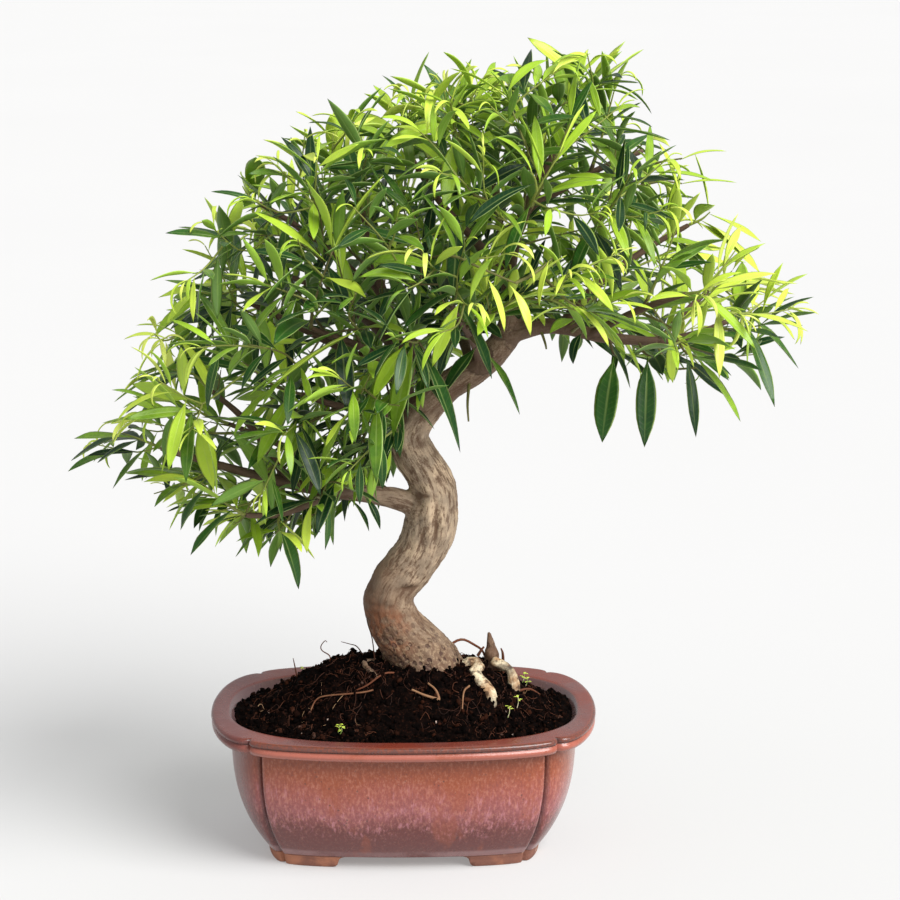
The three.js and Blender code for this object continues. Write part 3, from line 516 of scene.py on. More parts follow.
class Recipe(Workshop):
    """A Geometry Nodes tree with named sizes, run once on a starting mesh."""

    def __init__(self, name: str) -> None:
        """Starts an empty tree.

        Args:
            name: the tree's name.
        """
        self.tree = bpy.data.node_groups.new(name, "GeometryNodeTree")
        self.tree.is_modifier = True
        face = self.tree.interface
        face.new_socket("Geometry", in_out="INPUT", socket_type="NodeSocketGeometry")
        face.new_socket("Geometry", in_out="OUTPUT", socket_type="NodeSocketGeometry")
        self.start = self.tree.nodes.new("NodeGroupInput")
        self.sizes: dict[str, float] = {}

    def size(self, name: str, value: float) -> Number:
        """Adds a named size to the tree's inputs.

        Args:
            name: the size's name.
            value: a whole or a broken number.

        Returns:
            The size as a term.
        """
        whole = isinstance(value, int)
        kind = "NodeSocketInt" if whole else "NodeSocketFloat"
        self.tree.interface.new_socket(name, in_out="INPUT", socket_type=kind)
        self.sizes[name] = value
        return Number(self.tree, self.start.outputs[name])

    def kept(self, name: str) -> Number:
        """A number that the mesh's points carry."""
        node = self.node("GeometryNodeInputNamedAttribute", {"Name": name}, data_type="FLOAT")
        return Number(self.tree, node.outputs["Attribute"])

    def kept_arrow(self, name: str) -> Arrow:
        """A vector that the mesh's points carry."""
        node = self.node("GeometryNodeInputNamedAttribute", {"Name": name}, data_type="FLOAT_VECTOR")
        return Arrow(self.tree, node.outputs["Attribute"])

    def keep(self, geometry: Socket, name: str, value: Term) -> Socket:
        """Makes a mesh's points carry a number.

        Args:
            geometry: the mesh.
            name: the number's name.
            value: the number.

        Returns:
            The mesh with the number.
        """
        node = self.node("GeometryNodeStoreNamedAttribute", {"Geometry": geometry, "Name": name},
                         data_type="FLOAT", domain="POINT")
        plug(self.tree, node.inputs["Value"], value)
        return node.outputs["Geometry"]

    def drawn_arrow(self, low: Sequence[float], high: Sequence[float], seed: int) -> Arrow:
        """A random vector for each point or copy.

        Args:
            low: the least along each axis.
            high: the most along each axis.
            seed: the fixed seed.

        Returns:
            The vector.
        """
        node = self.node("FunctionNodeRandomValue", {0: low, 1: high, "Seed": seed}, data_type="FLOAT_VECTOR")
        return Arrow(self.tree, node.outputs[0])

    def finish(self, copies: Socket, material: Material) -> None:
        """Ends the tree: the copies are made real, shaded smooth and given their material.

        Args:
            copies: the geometry so far.
            material: the material.
        """
        real = self.node("GeometryNodeRealizeInstances", {"Geometry": copies})
        smooth = self.node("GeometryNodeSetShadeSmooth", {"Geometry": real.outputs[0]})
        dressed = self.node("GeometryNodeSetMaterial", {"Geometry": smooth.outputs[0], "Material": material})
        end = self.tree.nodes.new("NodeGroupOutput")
        self.tree.links.new(dressed.outputs[0], end.inputs[0])

    def run(self, piece: Piece) -> Piece:
        """Runs the tree on a piece, whose mesh becomes the plain result.

        Args:
            piece: the piece, with the starting mesh.

        Returns:
            The same piece.
        """
        modifier = piece.modifiers.new(self.tree.name, "NODES")
        modifier.node_group = self.tree
        for item in self.tree.interface.items_tree:
            if item.in_out == "INPUT" and item.name in self.sizes:
                modifier[item.identifier] = self.sizes[item.name]
        evaluated_mesh(piece)
        return piece


class Paint(Workshop):
    """A material in the making, with its shader and short ways to add patterns."""

    def __init__(self, name: str) -> None:
        """Starts a material.

        Args:
            name: the material's name.
        """
        self.material = bpy.data.materials.new(name)
        self.material.use_nodes = True
        self.tree = self.material.node_tree
        self.shader = self.tree.nodes["Principled BSDF"]
        coordinates = self.tree.nodes.new("ShaderNodeTexCoord")
        self.place = Arrow(self.tree, coordinates.outputs["Object"])

    def kept(self, name: str) -> Number:
        """A number that the mesh's points carry."""
        node = self.node("ShaderNodeAttribute", attribute_name=name)
        return Number(self.tree, node.outputs["Fac"])

    def kept_arrow(self, name: str) -> Arrow:
        """A vector that the mesh's points carry."""
        node = self.node("ShaderNodeAttribute", attribute_name=name)
        return Arrow(self.tree, node.outputs["Vector"])

    def speckle(self, where: Arrow, scale: float, detail: float = 3.0, roughness: float = 0.55,
                warp: float = 0.0) -> Number:
        """Soft random cloud.

        Args:
            where: the place that it is read at.
            scale: how many bumps there are in a metre.
            detail: how many times finer bumps are laid over them.
            roughness: how strong the finer ones are.
            warp: how far it is drawn out of shape.

        Returns:
            A number from 0 to 1.
        """
        node = self.node("ShaderNodeTexNoise", {"Vector": where, "Scale": scale, "Detail": detail,
                                                "Roughness": roughness, "Distortion": warp})
        return Number(self.tree, node.outputs["Fac"])

    def cells(self, where: Arrow, scale: float) -> Number:
        """Distance to the nearest of scattered points."""
        node = self.node("ShaderNodeTexVoronoi", {"Vector": where, "Scale": scale})
        return Number(self.tree, node.outputs["Distance"])

    def blend(self, share: object, first: object, second: object) -> Socket:
        """Two colours mixed.

        Args:
            share: share of the second one, from 0 to 1.
            first: a colour, or the socket that gives it.
            second: a colour, or the socket that gives it.

        Returns:
            The socket that gives the mixture.
        """
        node = self.node("ShaderNodeMix", {0: share, 6: first, 7: second}, data_type="RGBA", clamp_factor=True)
        return node.outputs[2]

    def scale_of(self, share: Number, stops: Sequence[tuple[float, Colour]]) -> Socket:
        """A colour read off a scale.

        Args:
            share: the place on the scale, from 0 to 1.
            stops: the places and the colours there.

        Returns:
            The socket that gives the colour.
        """
        node = self.node("ShaderNodeValToRGB", {"Fac": share})
        elements = node.color_ramp.elements
        while len(elements) < len(stops):
            elements.new(0.5)
        for element, (place, colour) in zip(elements, stops):
            element.position = place
            element.color = (*colour, 1.0)
        return node.outputs["Color"]

    def relief(self, height: Term, depth: float, strength: float = 1.0) -> None:
        """Roughens the shading by a height, with its depth in metres."""
        node = self.node("ShaderNodeBump", {"Height": height, "Distance": depth, "Strength": strength})
        plug(self.tree, self.shader.inputs["Normal"], node.outputs["Normal"])

    def set(self, **inputs: object) -> None:
        """Fills the shader's inputs; a low line in a name stands for a space."""
        for name, value in inputs.items():
            plug(self.tree, self.shader.inputs[name.replace("_", " ")], value)


# How the tree grows: the same rule, in the same order, as the one that grew the solids


@dataclass(frozen=True)
class SetLeaf:
    """A listed leaf: its share of the shoot's length, its tip, its width and how young it looks."""

    at: float
    tip: Place
    width: float
    tone: float


@dataclass(frozen=True)
class SetShoot:
    """A listed shoot, from a share of a limb's length through via to tip."""

    limb: str
    at: float
    via: Place
    tip: Place
    fill: int
    leaves: tuple[SetLeaf, ...] = ()


@dataclass
class Limb:
    """A branch: its points in order, its radius at both ends and where side shoots leave it."""

    name: str
    points: list[Array]
    radius: Pair
    shoots: tuple[float, ...]
    taper_power: float = 0.8

    @property
    def bough(self) -> str:
        """The main branch that the limb belongs to."""
        return self.name.partition("_")[0]

    def thickness(self, t: float) -> float:
        """Radius at a share of the limb's length."""
        return mix(*self.radius, t**self.taper_power)


@dataclass
class Blade:
    """One leaf: where it starts, its axes, its size and its looks."""

    base: Array
    axis: Array
    side: Array
    away: Array
    length: float
    width: float
    bend: float
    tone: float = 0.0
    twist: float = 0.0
    shade: float = 0.5

    def rib(self, t: float) -> Array:
        """A point on the midrib as the solids have it, which bends away evenly."""
        ahead = self.length * (t - 0.3 * self.bend * t * t)
        return self.base + ahead * self.axis + self.length * self.bend * t * t * self.away

    def arc(self, t: float) -> Array:
        """A point on the midrib as a round bend, which the finished leaf follows.

        Args:
            t: share of the leaf's length.

        Returns:
            The point.
        """
        curl = max(2 * self.bend, 0.01)
        ahead, aside = math.sin(curl * t) / curl, (1 - math.cos(curl * t)) / curl
        return self.base + self.length * (ahead * self.axis + aside * self.away)


@dataclass
class Shoot:
    """A thin stem with its leaves."""

    owner: int
    points: list[Array]
    root: Array
    hand: SetShoot | None = None
    blades: list[Blade] = field(default_factory=list)
    bough: str = "crown"


def limb(name: str, radius: Pair, shoots: tuple[float, ...], *points: tuple) -> Limb:
    """Writes a limb down in one line or two."""
    return Limb(name, [vec(*p) for p in points], radius, shoots)


TRUNK_RINGS = (
    (8, 4, 56, 14), (9, 4, 79, 20), (11, 4, 91, 22), (7, 4, 101, 18.5), (1, 4, 110, 15.2),
    (-4, 4, 117, 14.2), (-7.5, 4, 127, 13.6), (-5.5, 3, 137, 13.2), (2, 3, 147, 12.8), (9, 2, 157, 12.8),
    (13.5, 1, 169, 13.8), (15.5, 1, 180, 13.6), (16, 1, 189, 12), (12, 1, 199, 11.5), (6, 1, 209, 11.2),
    (3, 1, 218, 10.4), (7, 1, 227, 9.4), (13, 0, 235, 8.8), (24, 0, 244.5, 8.2), (38, 0, 254, 7.7),
    (48, 0, 263, 7.5), (55, 0, 273, 6.9),
)

LIMBS = (
    limb("low_left", (6.8, 1.6), (0.66, 0.84), (8, 1, 181), (-4, -2, 186), (-20, -7, 189.5),
         (-38, -13, 193), (-58, -19, 198), (-90, -24, 208), (-122, -25, 218)),
    limb("low_front", (3, 1.45), (), (-36, -13, 192.5), (-48, -30, 190), (-62, -44, 188), (-78, -54, 190)),
    limb("low_back", (3.4, 1.45), (0.55,), (-28, -9, 191), (-42, 16, 198), (-66, 38, 206), (-92, 50, 214)),
    limb("low_rise", (2.8, 1.45), (0.5,), (-58, -19, 198), (-68, -12, 214), (-82, -6, 230), (-98, -2, 243)),
    limb("stem_low_left", (2.8, 1.45), (0.6,), (1, 3, 228), (-18, -10, 234), (-34, -26, 240),
         (-50, -38, 248)),
    limb("stem", (6.4, 1.7), (0.78,), (4, 2, 212), (1, 3, 236), (0, 5, 254), (-5, 8, 276), (-13, 8, 302),
         (-20, 6, 334)),
    limb("stem_left", (3.4, 1.45), (0.5, 0.75), (0, 4, 246), (-22, 8, 258), (-48, 4, 272), (-78, 0, 288)),
    limb("stem_front_left", (3, 1.45), (0.55,), (0, 4, 252), (-12, -22, 264), (-26, -46, 276),
         (-44, -64, 286)),
    limb("stem_back_left", (3, 1.45), (0.6,), (-1, 5, 260), (-18, 34, 272), (-42, 58, 284), (-66, 72, 292)),
    limb("stem_high_left", (2.8, 1.45), (0.55,), (-7, 8, 284), (-30, 12, 306), (-54, 8, 326), (-72, 4, 338)),
    limb("stem_front", (2.8, 1.45), (0.6,), (1, 3, 240), (4, -18, 254), (6, -40, 268), (4, -60, 280)),
    limb("crown_stem", (6.6, 1.7), (0.66, 0.84), (52, 0, 268), (56, 1, 285), (54, 2, 302), (58, 2, 324),
         (70, 2, 350), (82, 4, 372)),
    limb("crown_left", (3, 1.45), (0.6,), (54, 2, 300), (36, 2, 320), (18, 4, 340), (4, 6, 362)),
    limb("crown_front", (3, 1.45), (0.5, 0.75), (55, 2, 306), (56, -24, 318), (58, -48, 332),
         (62, -68, 346)),
    limb("crown_back", (3, 1.45), (0.6,), (55, 2, 300), (52, 30, 314), (50, 56, 328), (48, 74, 340)),
    limb("crown_right", (2.8, 1.45), (0.55,), (62, 2, 334), (82, 2, 346), (102, 4, 356), (122, 6, 364)),
    limb("arm_back", (3.2, 1.45), (0.6,), (36, 0, 253), (30, 32, 266), (20, 62, 280), (10, 82, 292)),
    limb("arm_front", (2.6, 1.45), (0.62,), (40, 0, 256), (36, -22, 270), (30, -46, 284), (24, -66, 298)),
    limb("right", (5, 1.5), (0.7, 0.9), (52, 0, 270), (70, -2, 275.5), (84, -5, 275), (98, -9, 272),
         (112, -12, 270.5), (130, -13, 270), (150, -13, 274), (168, -10, 281)),
    limb("right_rise", (2.8, 1.45), (0.6,), (82, -5, 275.5), (98, 4, 294), (122, 8, 312), (146, 8, 326)),
    limb("right_front", (2.6, 1.45), (0.6,), (96, -8, 272.5), (108, -30, 284), (122, -48, 294),
         (138, -62, 302)),
    limb("right_back", (2.8, 1.45), (0.6,), (80, -4, 275.5), (94, 26, 286), (112, 50, 296), (128, 64, 304)),
    limb("right_far_back", (2, 1.45), (), (130, -13, 270), (144, 10, 280), (158, 28, 288)),
)
LIMB_NAMED = {one.name: one for one in LIMBS}

SET_SHOOTS = (
    SetShoot("stem_front", 1, (8, -68, 280), (14, -72, 272), 3, (
        SetLeaf(0.45, (28, -78, 228), 9.5, 0.06), SetLeaf(0.1, (-14, -78, 254), 8.5, 0.48),
        SetLeaf(0.3, (-4, -80, 236), 10.5, 0.22))),
    SetShoot("stem_front_left", 0.86, (-24, -68, 286), (-18, -78, 288), 3, (
        SetLeaf(0.8, (-60, -90, 264), 9.5, 0.58),)),
    SetShoot("stem_front_left", 1, (-42, -72, 300), (-32, -78, 328), 2, (
        SetLeaf(0.97, (-45, -84, 361), 12.5, 0.55), SetLeaf(0.94, (-9, -84, 362), 10, 0.56),
        SetLeaf(0.86, (-70, -80, 345), 9, 0.58), SetLeaf(0.75, (-17, -92, 306), 10.5, 0.6))),
    SetShoot("arm_front", 1, (26, -72, 302), (27, -80, 310), 3, (
        SetLeaf(0.5, (43, -80, 265), 9.5, 0.08), SetLeaf(0.85, (1, -88, 290), 8.5, 0.12))),
    SetShoot("arm_front", 0.5, (38, -38, 272), (42, -42, 270), 0, (
        SetLeaf(0.4, (20, -62, 252), 8, 0.12), SetLeaf(0.92, (58, -48, 240), 8, 0.14))),
    SetShoot("right", 0.5, (106, -19, 265), (107, -28, 265), 0, (SetLeaf(0.75, (100, -38, 224), 12.5, 0.14),)),
    SetShoot("right", 0.63, (122, -21, 265), (125, -29, 265), 1, (SetLeaf(0.7, (121, -40, 222), 10.5, 0.12),)),
    SetShoot("right", 0.78, (142, -23, 266), (147, -30, 265), 2, (
        SetLeaf(0.95, (168, -42, 235), 8, 0.26), SetLeaf(0.55, (147, -36, 226), 6, 0.1))),
    SetShoot("right", 1, (176, -8, 284), (184, -6, 290), 3, (
        SetLeaf(0.96, (205, -2, 302), 5, 0.58), SetLeaf(0.8, (204, -12, 284), 5, 0.58),
        SetLeaf(0.4, (199, -22, 258), 7, 0.15), SetLeaf(0.2, (186, -34, 241), 7, 0.2))),
    SetShoot("low_left", 1, (-130, -26, 222), (-141, -26, 226), 4, (
        SetLeaf(0.97, (-166, -31, 213), 7.5, 0.1), SetLeaf(0.6, (-152, -40, 214), 6.5, 0.1),
        SetLeaf(0.3, (-145, -36, 200), 5, 0.15))),
    SetShoot("low_front", 1, (-88, -52, 196), (-100, -46, 205), 4, (
        SetLeaf(0.9, (-110, -54, 183), 9.5, 0.08), SetLeaf(0.3, (-104, -68, 174), 8.5, 0.1))),
    SetShoot("low_front", 0.62, (-62, -48, 186), (-61, -54, 182), 1, (
        SetLeaf(0.8, (-52, -56, 153), 10.5, 0.06), SetLeaf(0.3, (-44, -52, 167), 5, 0.9))),
    SetShoot("crown_stem", 1, (88, 6, 384), (95, 8, 395), 5, (
        SetLeaf(0.95, (64, 12, 419.6), 9, 0.6), SetLeaf(0.97, (112, 10, 418), 8, 0.6),
        SetLeaf(0.8, (122, 22, 413), 7, 0.6))),
    SetShoot("stem_left", 1, (-86, -2, 302), (-88, -2, 316), 4, (
        SetLeaf(0.95, (-99, 0, 341), 9, 0.56), SetLeaf(0.35, (-122, -8, 292), 8, 0.5),
        SetLeaf(0.6, (-108, -26, 319), 9, 0.56))),
    SetShoot("stem_high_left", 1, (-77, 2, 342), (-80, 0, 347), 7),
    SetShoot("stem", 1, (-24, 4, 346), (-34, 2, 360), 5, (
        SetLeaf(0.95, (-36, 2, 386), 8.5, 0.56), SetLeaf(0.9, (-55, -8, 378), 7.5, 0.56))),
    SetShoot("crown_left", 1, (0, 8, 374), (-4, 10, 382), 6, (SetLeaf(0.95, (-14, 14, 396), 7, 0.56),)),
    SetShoot("right_rise", 1, (152, 6, 329), (156, 4, 333), 7, (
        SetLeaf(0.95, (148, 5, 362), 5, 0.6), SetLeaf(0.9, (181, -2, 319), 5, 0.6))),
)


# Patches of the crown with leaves of their own tone, each with its x and half width, its height and half
# height: the front, the low branch, the right branch, the left side, and the heart, darkened as painted shade
CROWN_PATCHES = ((68, 50, 300, 34), (-78, 36, 190, 26), (150, 32, 300, 40), (-130, 26, 250, 40),
                 (-25, 42, 272, 36))


class Room:
    """Keeps every place that wood and leaves hold, so that no new leaf or stem crosses another."""

    def __init__(self) -> None:
        """Starts with nothing held."""
        self.count = 0
        self.spots = np.empty((1024, 3))
        self.radii = np.empty(1024)
        self.owners = np.empty(1024, int)

    def hold(self, spots: Array, radii: Array | float, owner: int) -> None:
        """Notes that an owner holds some spots.

        Args:
            spots: the places.
            radii: room held round each.
            owner: the number of the owner.
        """
        needed = self.count + len(spots)
        while needed > len(self.radii):
            self.spots = np.vstack([self.spots, np.empty_like(self.spots)])
            self.radii = np.concatenate([self.radii, np.empty_like(self.radii)])
            self.owners = np.concatenate([self.owners, np.empty_like(self.owners)])
        self.spots[self.count:needed] = spots
        self.radii[self.count:needed] = radii
        self.owners[self.count:needed] = owner
        self.count = needed

    def is_free(self, spots: Array, radius: float, owner: int, own_patch: float) -> bool:
        """True where the spots are clear of what others hold.

        Args:
            spots: the places asked about.
            radius: room wanted round each.
            owner: whose spots they are; its own held spots nearer than own_patch don't count.
            own_patch: distance round a spot in which its owner may hold others; 0 leaves all of them out.

        Returns:
            Whether all of them are clear.
        """
        middle = spots.mean(axis=0)
        reach = np.abs(spots - middle).max(axis=0) + radius
        held = self.spots[: self.count]
        near = np.flatnonzero((np.abs(held - middle) < reach + self.radii[: self.count, None]).all(axis=1))
        if not len(near):
            return True
        gaps = np.linalg.norm(spots[:, None] - held[near][None], axis=2)
        own = self.owners[near] == owner
        passed = own if own_patch == 0 else own & (gaps < own_patch)
        return not bool(np.any((gaps < self.radii[near] + radius) & ~passed))


@dataclass
class Growth:
    """Grows the shoots and leaves of the solids again, and then thickens the crown with more."""

    heart: Array = field(default_factory=lambda: vec(15, 0, 262))
    centre: Array = field(default_factory=lambda: vec(15, 0, 285))
    reach: Place = (217, 118, 168)
    top: float = 419
    front_slope: float = 0.225
    crown_top: tuple = ((-166, 220), (-150, 234), (-124, 280), (-92, 340), (-53, 374), (-14, 397), (39, 412),
                        (67, 420), (108, 418), (120, 384), (142, 348), (170, 318), (205, 292))
    crown_under: tuple = ((-166, 205), (-146, 198), (-125, 180), (-102, 163), (-51, 152), (-34, 174),
                          (-10, 190), (6, 224), (26, 260), (62, 276), (100, 262), (122, 248), (160, 244),
                          (185, 250), (205, 272))
    leaves_per_shoot: int = 9
    route_tries: int = 60
    route_length: Pair = (46, 20)
    outward: float = 0.8
    ahead: float = 0.55
    upward: float = 0.3
    stray: float = 1.3
    most_along: float = 0.8
    knee_at: float = 0.4
    tip_lift: float = 0.1
    leaf_reach: float = 8
    start_free: float = 7
    short_shoot: float = 18
    route_room: float = 4
    stem_room: float = 2
    route_looks: int = 12
    route_seed: tuple[int, int] = (7000, 131)
    leaf_seed: tuple[int, int] = (90000, 977)
    leaf_length: Pair = (46, 35)
    size_spread: Pair = (0.86, 1.12)
    shorter: float = 0.78
    width_ratio: float = 0.215
    lean: Pair = (1.12, 0.42)
    lean_spread: float = 0.5
    lift: float = 0.12
    bend: Pair = (0.06, 0.26)
    set_bend: float = 0.1
    roll_spread: float = 0.9
    first_at: float = 0.16
    tries: int = 9
    try_turn: float = 0.35
    leaf_room: float = 1.8
    base_patch: float = 7
    spot_step: float = 3
    spur_length: float = 3
    clearance: float = 0.3
    bark_room: float = 0.8
    line_step: float = 3
    room: Room = field(default_factory=Room)
    shoots: list[Shoot] = field(default_factory=list)

    def in_crown(self, p: Array) -> bool:
        """True inside the crown as it is seen from the front and the sides.

        Args:
            p: the place asked about.

        Returns:
            Whether it lies inside.
        """
        seen = p[2] + self.front_slope * p[1]
        if not self.crown_top[0][0] <= p[0] <= self.crown_top[-1][0] or p[2] > self.top:
            return False
        if seen > height_at(self.crown_top, p[0]) or seen < height_at(self.crown_under, p[0]):
            return False
        room = self.spread_left(p)
        return room > 0 and abs(p[1]) < self.reach[1] * math.sqrt(room)

    def hold_line(self, points: Line, radius_at: Callable[[float], float], owner: int) -> None:
        """Takes the room along a line.

        Args:
            points: the line's points.
            radius_at: gives the radius at a share of the line.
            owner: the number of the owner.
        """
        steps = math.ceil(length_of(points) / self.line_step)
        shares = [i / steps for i in range(steps + 1)]
        spots = np.array([along(points, t) for t in shares])
        self.room.hold(spots, np.array([radius_at(t) for t in shares]), owner)

    def start_of(self, branch: Limb, at: float, direction: Array) -> Array:
        """Where a shoot starts: just off its limb's end, or off a short spur beside it.

        Args:
            branch: the limb.
            at: share of the limb's length.
            direction: the way that the shoot sets out.

        Returns:
            The place.
        """
        centre = along(branch.points, at)
        out = 0 if at >= 1 else branch.thickness(at) + self.spur_length
        return centre + direction * (out + self.clearance)

    def route(self, branch: Limb, at: float, owner: int) -> Shoot | None:
        """Finds a free way out of the crown for a shoot.

        Args:
            branch: the limb that it leaves.
            at: where it leaves it, as a share of the limb's length.
            owner: the shoot's number.

        Returns:
            The shoot, or none where all ways are taken.
        """
        draw = chance(self.route_seed[0] + self.route_seed[1] * owner)
        centre = along(branch.points, at)
        ahead = heading(branch.points, at)
        outward = unit(centre - self.heart)
        for attempt in range(self.route_tries):
            stray = vec(draw() - 0.5, draw() - 0.5, draw() - 0.5)
            wish = unit(outward * self.outward + ahead * self.ahead + UP * self.upward + stray * self.stray)
            if at < 1 and np.dot(wish, ahead) > self.most_along:
                continue
            direction = end_heading(branch.points) if at >= 1 else wish
            length = mix(*self.route_length, attempt / (self.route_tries - 1))
            start = self.start_of(branch, at, direction)
            knee = start + direction * length * self.knee_at
            tip = knee + wish * length * (1 - self.knee_at) + UP * length * self.tip_lift
            line = [start, knee, tip]
            if not self.in_crown(tip + wish * self.leaf_reach):
                continue
            looks = [along(line, i / self.route_looks) for i in range(2, self.route_looks + 1)]
            far = [look for look in looks if np.linalg.norm(look - start) >= self.start_free]
            if all(self.room.is_free(look[None], self.route_room, owner, 0) for look in far):
                return Shoot(owner, line, centre, bough=branch.bough)
        return None

    def blade(self, base: Array, direction: Array, length: float, width: float, bend: float,
              roll: float, tone: float = 0.0) -> Blade:
        """A leaf that bends down from its direction.

        Args:
            base: where it leaves its stem.
            direction: the way that it sets out.
            length: its length.
            width: its greatest width.
            bend: how far it bends, as a share of its length.
            roll: its turn about its midrib.
            tone: how young it looks.

        Returns:
            The leaf.
        """
        side = np.cross(direction, UP)
        side = vec(1, 0, 0) if np.dot(side, side) < 0.01 else unit(side)
        over = unit(np.cross(side, direction))
        turned = side * math.cos(roll) + over * math.sin(roll)
        return Blade(base, direction, turned, -over, length, width, bend, tone)

    def blade_to(self, base: Array, tip: Array, width: float, bend: float, tone: float,
                 roll: float = 0.0) -> Blade:
        """A leaf that ends at a given tip, with its bend taken off its aim.

        Args:
            base: where it leaves its stem.
            tip: where it ends.
            width: its greatest width.
            bend: how far it bends, as a share of its length.
            tone: how young it looks.
            roll: its turn about its midrib.

        Returns:
            The leaf.
        """
        aim = tip - base
        length = float(np.linalg.norm(aim))
        straight = self.blade(base, unit(aim), length, width, bend, 0)
        made = self.blade(base, unit(aim - (straight.rib(1) - tip)), length, width, bend, roll, tone)
        made.length = length * length / float(np.linalg.norm(made.rib(1) - base))
        return made

    def spots_of(self, blade: Blade) -> Array:
        """Spots along a leaf and to both sides of its midrib.

        Args:
            blade: the leaf.

        Returns:
            One row for each spot.
        """
        spots = []
        steps = math.ceil(blade.length / self.spot_step)
        for i in range(1, steps + 1):
            t = i / steps
            if t < self.first_at:
                continue
            half = 0.375 * blade.width * math.sin(math.pi * min(t**0.86, 1.0)) ** 0.85 if t < 1 else 0.0
            spots += [blade.rib(t) + blade.side * side * half for side in (-1, 0, 1)]
        return np.array(spots)

    def stem_point(self, shoot: Shoot, t: float) -> Array:
        """A place on a solid's stem, which runs straight between its sections.

        Args:
            shoot: the shoot.
            t: share of the stem's length.

        Returns:
            The place.
        """
        short = shoot.hand is not None and np.linalg.norm(shoot.points[2] - shoot.points[0]) < self.short_shoot
        steps = 2 if short else 3
        i = min(math.floor(t * steps), steps - 1)
        first, last = along(shoot.points, i / steps), along(shoot.points, (i + 1) / steps)
        return first + (last - first) * (t * steps - i)

    def leaf_up(self, shoot: Shoot) -> None:
        """Places one leaf after another round a shoot, at the golden angle, where it finds room.

        Args:
            shoot: the shoot to clothe.
        """
        draw = chance(self.leaf_seed[0] + self.leaf_seed[1] * shoot.owner)
        for leaf in shoot.hand.leaves if shoot.hand else ():
            foot = self.stem_point(shoot, leaf.at)
            blade = self.blade_to(foot, vec(*leaf.tip), leaf.width, self.set_bend, leaf.tone)
            self.room.hold(self.spots_of(blade), self.leaf_room, shoot.owner)
            blade.base = along(shoot.points, leaf.at)
            shoot.blades.append(blade)
        count = shoot.hand.fill if shoot.hand else self.leaves_per_shoot
        first_turn = draw() * math.pi * 2
        for k in range(count):
            share = k / (count - 1) if count > 1 else 1
            t = mix(self.first_at, 1, share)
            base = self.stem_point(shoot, t)
            ahead = heading(shoot.points, t)
            side, over = frame_of(ahead)
            size = mix(*self.leaf_length, share) * mix(*self.size_spread, draw())
            for attempt in range(self.tries):
                turn = first_turn + k * GOLDEN_ANGLE + (1 if attempt % 2 == 0 else -1) * attempt * self.try_turn
                lean = mix(*self.lean, share) + (draw() - 0.5) * self.lean_spread
                radial = side * math.cos(turn) + over * math.sin(turn)
                direction = unit(ahead * math.cos(lean) + radial * math.sin(lean) + UP * self.lift)
                length = size * mix(1, self.shorter, attempt / (self.tries - 1))
                bend = mix(*self.bend, draw())
                roll = (draw() - 0.5) * self.roll_spread
                blade = self.blade(base, direction, length, length * self.width_ratio, bend, roll)
                if not self.in_crown(blade.rib(1)) or not self.in_crown(blade.rib(0.6)):
                    continue
                spots = self.spots_of(blade)
                if not self.room.is_free(spots, self.leaf_room, shoot.owner, self.base_patch):
                    continue
                blade.tone = self.age_and_shade_of(base, share)
                blade.base = along(shoot.points, t)
                shoot.blades.append(blade)
                self.room.hold(spots, self.leaf_room, shoot.owner)
                break

    def grow(self) -> None:
        """Grows the shoots and leaves that the solids have."""
        rings = [vec(*ring[:3]) for ring in TRUNK_RINGS]
        last = len(rings) - 1
        self.hold_line(rings, lambda t: TRUNK_RINGS[int(t * last + 0.5)][3] + self.bark_room, -1)
        for branch in LIMBS:
            self.hold_line(branch.points, lambda t, b=branch: b.thickness(t) + self.bark_room, -2)
        for owner, hand in enumerate(SET_SHOOTS):
            branch = LIMB_NAMED[hand.limb]
            centre = along(branch.points, hand.at)
            aside = unit(vec(*hand.via) - centre)
            direction = end_heading(branch.points) if hand.at >= 1 else aside
            line = [self.start_of(branch, hand.at, direction), vec(*hand.via), vec(*hand.tip)]
            self.shoots.append(Shoot(owner, line, centre, hand, bough=branch.bough))
            self.hold_line(line, lambda t: self.stem_room, owner)
        taken = {hand.limb for hand in SET_SHOOTS if hand.at >= 1}
        owner = len(SET_SHOOTS)
        for branch in LIMBS:
            for at in branch.shoots if branch.name in taken else (*branch.shoots, 1):
                shoot = self.route(branch, at, owner)
                if shoot is not None:
                    self.shoots.append(shoot)
                    self.hold_line(shoot.points, lambda t: self.stem_room, owner)
                owner += 1
        for shoot in self.shoots:
            self.leaf_up(shoot)

    def age_and_shade_of(self, place: Array, share: float) -> float:
        """How young a leaf looks by its place in the crown, with painted shade: darker tones deep inside the
        crown, near its underside and in its heart.

        Args:
            place: where it grows.
            share: how far along its shoot it grows.

        Returns:
            Its tone, from 0 for old and dark to 1 for lime.
        """
        x, y, z = place
        seen = z + self.front_slope * y
        roof = max(height_at(self.crown_top, x) - seen, 0)
        floor = max(seen - height_at(self.crown_under, x), 0)
        young = 0.56 + 0.4 * math.exp(-roof / 35)
        front, low, right, left, dark = (
            math.exp(-(((x - place_x) / wide) ** 2) - ((seen - place_z) / tall) ** 2)
            for place_x, wide, place_z, tall in CROWN_PATCHES)
        front *= 1 if y < 10 else 0.35
        low *= 1 if y < 0 else 0.5
        # Painted shade, in part also the darker colour of older leaves: tones fall in the heart of the crown,
        # near its underside and deep inside it
        young += 0.5 * front + 0.4 * low + 0.42 * right + 0.3 * left - 0.3 * dark
        young -= 0.3 * math.exp(-floor / 10) * (1 - low)
        depth = min(roof, self.reach[1] * math.sqrt(max(self.spread_left(place), 0)) - abs(y))
        young -= 0.5 * min(max((depth - 12) / 24, 0), 1)
        wander = noise.noise(Vector(place) * 0.03)
        flush = min(front + 0.7 * low + 0.7 * right + 0.5 * math.exp(-roof / 25), 1) * 0.8
        ripe = mix(0.36 + 0.94 * share**1.2, 0.78 + 0.42 * share, flush)
        return float(np.clip(young * ripe + 0.3 * wander, 0, 1))

